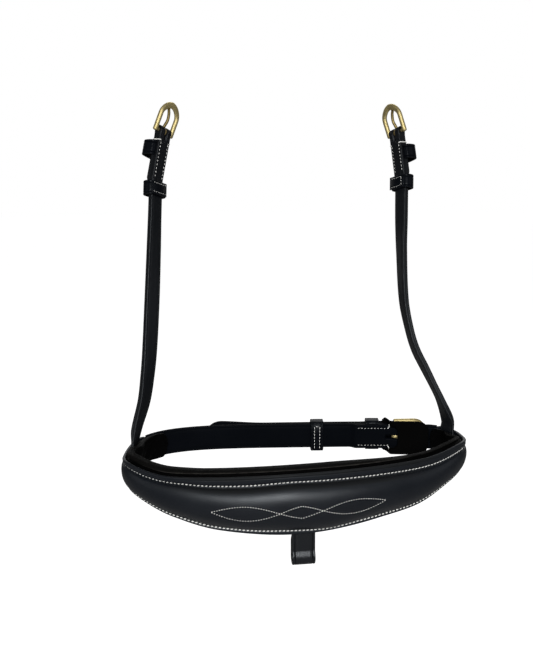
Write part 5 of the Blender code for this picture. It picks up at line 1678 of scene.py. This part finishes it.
    def stitch_rows(self):
        """Two rows on each face of the turned end."""
        top = self.frame(self.length)
        rows = []
        inset = 0.5 * CHEEK_WIDTH - CHEEK_THREAD_INSET
        for face in (-1.0, 1.0):
            level = face * (0.5 * CHEEK_TURNED_THICKNESS + THREAD_LIFT)
            for a in (-inset, inset):
                path = []
                for drop in even(self.thread_drop + 0.0008, self.turned_length - 0.0006, 0.002):
                    path.append((top @ Vector((a, -drop, level)), -top.col[1].to_3d(), top.col[2].to_3d() * face))
                rows += evenly_along(path, CHEEK_PITCH)
        return rows

    def edge_threads(self, look):
        """The thick end thread that goes over each side edge just below the buckle."""
        place, half = self.below_bar(self.thread_drop), 0.5 * CHEEK_WIDTH
        thick, inset = 0.5 * CHEEK_TURNED_THICKNESS, half - CHEEK_THREAD_INSET
        name = "cheek_end_thread_" + self.name
        return [wrapped_edge(name + end, place, half, thick, inset, side, look)
                for side, end in ((-1.0, "_a"), (1.0, "_b"))]


# Putting it together

BODY = "noseband"


def chin_end_thread(side, look):
    place, half = ring_matrix(CHIN_THREAD_AT, turned_middle()), 0.5 * CHIN_STRAP_WIDTH
    name = "chin_end_thread_" + ("upper" if side > 0.0 else "lower")
    return wrapped_edge(name, place, half, 0.5 * TURNED_THICKNESS, half - CHIN_THREAD_INSET, side, look)


def chin_strap_rows():
    """Two rows on each face of the chin strap's turned end."""
    rows = []
    bar = CHIN_BAR_AT - RING["length"]
    edge = 0.5 * CHIN_STRAP_WIDTH - CHIN_THREAD_INSET
    for up in (-edge, edge):
        for face in (-1.0, 1.0):
            level = turned_middle() + face * (0.5 * TURNED_THICKNESS + THREAD_LIFT)
            path = []
            for s in even(bar + TURNED_LENGTH - 0.0003, bar + 0.0052, 0.002):
                point, along, outward = ring_frame(s)
                path.append((point + outward * level + UP * up, -along, outward * face))
            rows += evenly_along(path, CHIN_PITCH)
    return rows


def front_row(height_of, pitch):
    """Stitch places along the front, at a height share that changes along it."""
    path = [front_frame(s, height_of(s)) for s in even(-FRONT_ROW_REACH, FRONT_ROW_REACH, 0.002)]
    return evenly_along(path, pitch)


def top_line(s):
    return 1.0 - top_seam(s) / front_height(s)


def bottom_line(s):
    return bottom_seam(s) / front_height(s)


def fancy_rows():
    """Stitch places of the fancy pattern: a diamond between two long loops."""
    rows = []
    for (from_s, from_down), (to_s, to_down), bow in FANCY_ARCS:
        path = []
        for share in between(0.0, 1.0, 60):
            s = from_s + (to_s - from_s) * share
            down = from_down + (to_down - from_down) * share + bow * math.sin(math.pi * share)
            path.append(front_frame(s, 1.0 - down / front_height(s)))
        rows += evenly_along(path, FANCY_PITCH)
    return rows


def dress_front(looks):
    stands_for(make_crescent(looks["front"]), BODY, "front_leather", "front_filling")
    lining = stands_for(make_padded_lining(looks["lining"]), BODY, "lining_pad")
    rows = front_row(top_line, TOP_PITCH)
    sits_on(sew("front_top_stitches", rows, TOP_STITCH, looks), BODY)
    rows = front_row(bottom_line, BOTTOM_PITCH)
    sits_on(sew("front_bottom_stitches", rows, BOTTOM_STITCH, looks), BODY)
    sits_on(sew("front_fancy_stitches", fancy_rows(), FANCY_STITCH, looks), BODY)


def dress_straps(looks):
    stands_for(make_chin_buckle_strap(looks["chin"]), BODY, "buckle_strap")
    stands_for(make_billet(looks["chin"]), BODY, "billet_strap")
    stands_for(make_guard(looks["guard"]), BODY, "buckle_guard")
    stands_for(make_flash_loop(looks["loop"]), BODY, "flash_loop")


def dress_chin_keepers(looks):
    half = 0.5 * CHIN_STRAP_WIDTH + KEEPER_ROOM
    out = turned_middle()
    top = billet_out(CHIN_KEEPER_AT - 0.5 * CHIN_KEEPER_BAND) + 0.5 * STRAP_THICKNESS - out
    walls = (0.5 * KEEPER_LEATHER, top + 2.0 * CLEAR)
    place = ring_matrix(CHIN_KEEPER_AT, out)
    sewn = Keeper("chin_sewn_keeper", place, half, walls, CHIN_KEEPER_BAND, CHIN_FIXED_CORNERS)
    stands_for(sewn.make(looks["keeper"]), BODY, "chin_fixed_keeper")
    body, node = "chin_runner", "chin_runner_keeper"
    walls = (-STRAP_THICKNESS - 3.0 * CLEAR, STRAP_THICKNESS + 3.0 * CLEAR)
    place = ring_matrix(CHIN_RUNNER_AT, 0.0)
    sliding = Keeper("chin_sliding_keeper", place, half, walls, CHIN_RUNNER_BAND, CHIN_RUNNER_CORNERS)
    stands_for(sliding.make(looks["keeper"]), body, node)
    sits_on(sliding.lap(half - 0.0002, -half - 0.0010, looks["keeper"]), body)
    edge, shut, end = 0.5 * CHIN_RUNNER_BAND - 0.0032, half - 0.0022, -half + 0.0006
    seam = sliding.seam((((end, edge), (shut, edge), (shut, -edge), (end, -edge)),), CHIN_RUNNER_PITCH)
    sits_on(sew("chin_runner_stitches", seam, CHIN_RUNNER_STITCH, looks), body)


def dress_chin_buckle(looks):
    place = chin_place()
    span = 0.5 * CHIN_STRAP_WIDTH + CHIN_LEG_ROOM + CHIN_LEG_RADIUS
    bow = make_buckle("chin_brass_frame", place, span, CHIN_BUCKLE_LENGTH, CHIN_BAR_RADIUS, CHIN_LEG_RADIUS,
                      CHIN_BOW_WIDTH, CHIN_BOW_THICKNESS, CHIN_BOW_ROUND, looks["brass"])
    stands_for(bow, "chin_frame", "chin_buckle_frame")
    length = CHIN_BUCKLE_LENGTH
    rest = 0.5 * CHIN_BOW_THICKNESS + CLEAR + CHIN_TONGUE_RADIUS
    ring = CHIN_BAR_RADIUS + CLEAR + 0.5 * TONGUE_RING_WALL
    over = billet_out(CHIN_BAR_AT) - turned_middle() + 0.5 * STRAP_THICKNESS + CHIN_TONGUE_RADIUS
    route = [
        (0.6 * ring, 0.8 * ring), (1.5 * ring, 1.9 * ring), (2.4 * ring, 0.75 * over), (4.0 * ring, over),
        (0.55 * length, 0.62 * over + 0.38 * rest), (0.8 * length, 0.22 * over + 0.78 * rest),
        (length, rest), (length + 0.5 * CHIN_BOW_WIDTH + TONGUE_REACH, rest),
    ]
    tongue = make_tongue("chin_brass_tongue", place, route, CHIN_BAR_RADIUS, CHIN_TONGUE_RADIUS, looks["brass"])
    stands_for(tongue, "chin_tongue", "chin_buckle_tongue")
    sits_on(sew("chin_strap_stitches", chin_strap_rows(), CHIN_STITCH, looks), BODY)
    for side in (1.0, -1.0):
        sits_on(chin_end_thread(side, looks["thread"]), BODY)


def dress_cheek(strap, looks):
    side = strap.name
    leather, slider, node = "cheek_strap_" + side, side + "_cheek_runner", "cheek_runner_keeper_" + side
    stands_for(strap.make_strap(looks["cheek"]), BODY, leather)
    fixed, runner = strap.keepers()
    stands_for(fixed.make(looks["keeper"]), BODY, "cheek_fixed_keeper_" + side)
    stands_for(runner.make(looks["keeper"]), slider, node)
    sits_on(runner.lap(runner.half + 0.0008, -0.92 * runner.half, looks["keeper"]), slider)
    seam = runner.seam(strap.runner_lines(runner.half), CHEEK_RUNNER_PITCH)
    sits_on(sew("cheek_keeper_stitches_" + side, seam, CHEEK_RUNNER_STITCH, looks), slider)
    bow, tongue = strap.make_buckle(looks["brass"], looks["pin"])
    stands_for(bow, side + "_cheek_frame", "cheek_buckle_frame_" + side)
    stands_for(tongue, side + "_cheek_tongue", "cheek_buckle_tongue_" + side)
    sits_on(sew("cheek_stitches_" + side, strap.stitch_rows(), CHEEK_STITCH, looks), BODY)
    for piece in strap.edge_threads(looks["thread"]):
        sits_on(piece, BODY)


def build():
    looks = make_looks()
    looks["stitches"] = stitch_tree()
    dress_front(looks)
    dress_straps(looks)
    dress_chin_keepers(looks)
    dress_chin_buckle(looks)
    for sizes in (LEFT_CHEEK, RIGHT_CHEEK):
        dress_cheek(CheekStrap(**sizes), looks)


place_camera()
set_the_stage()
build()
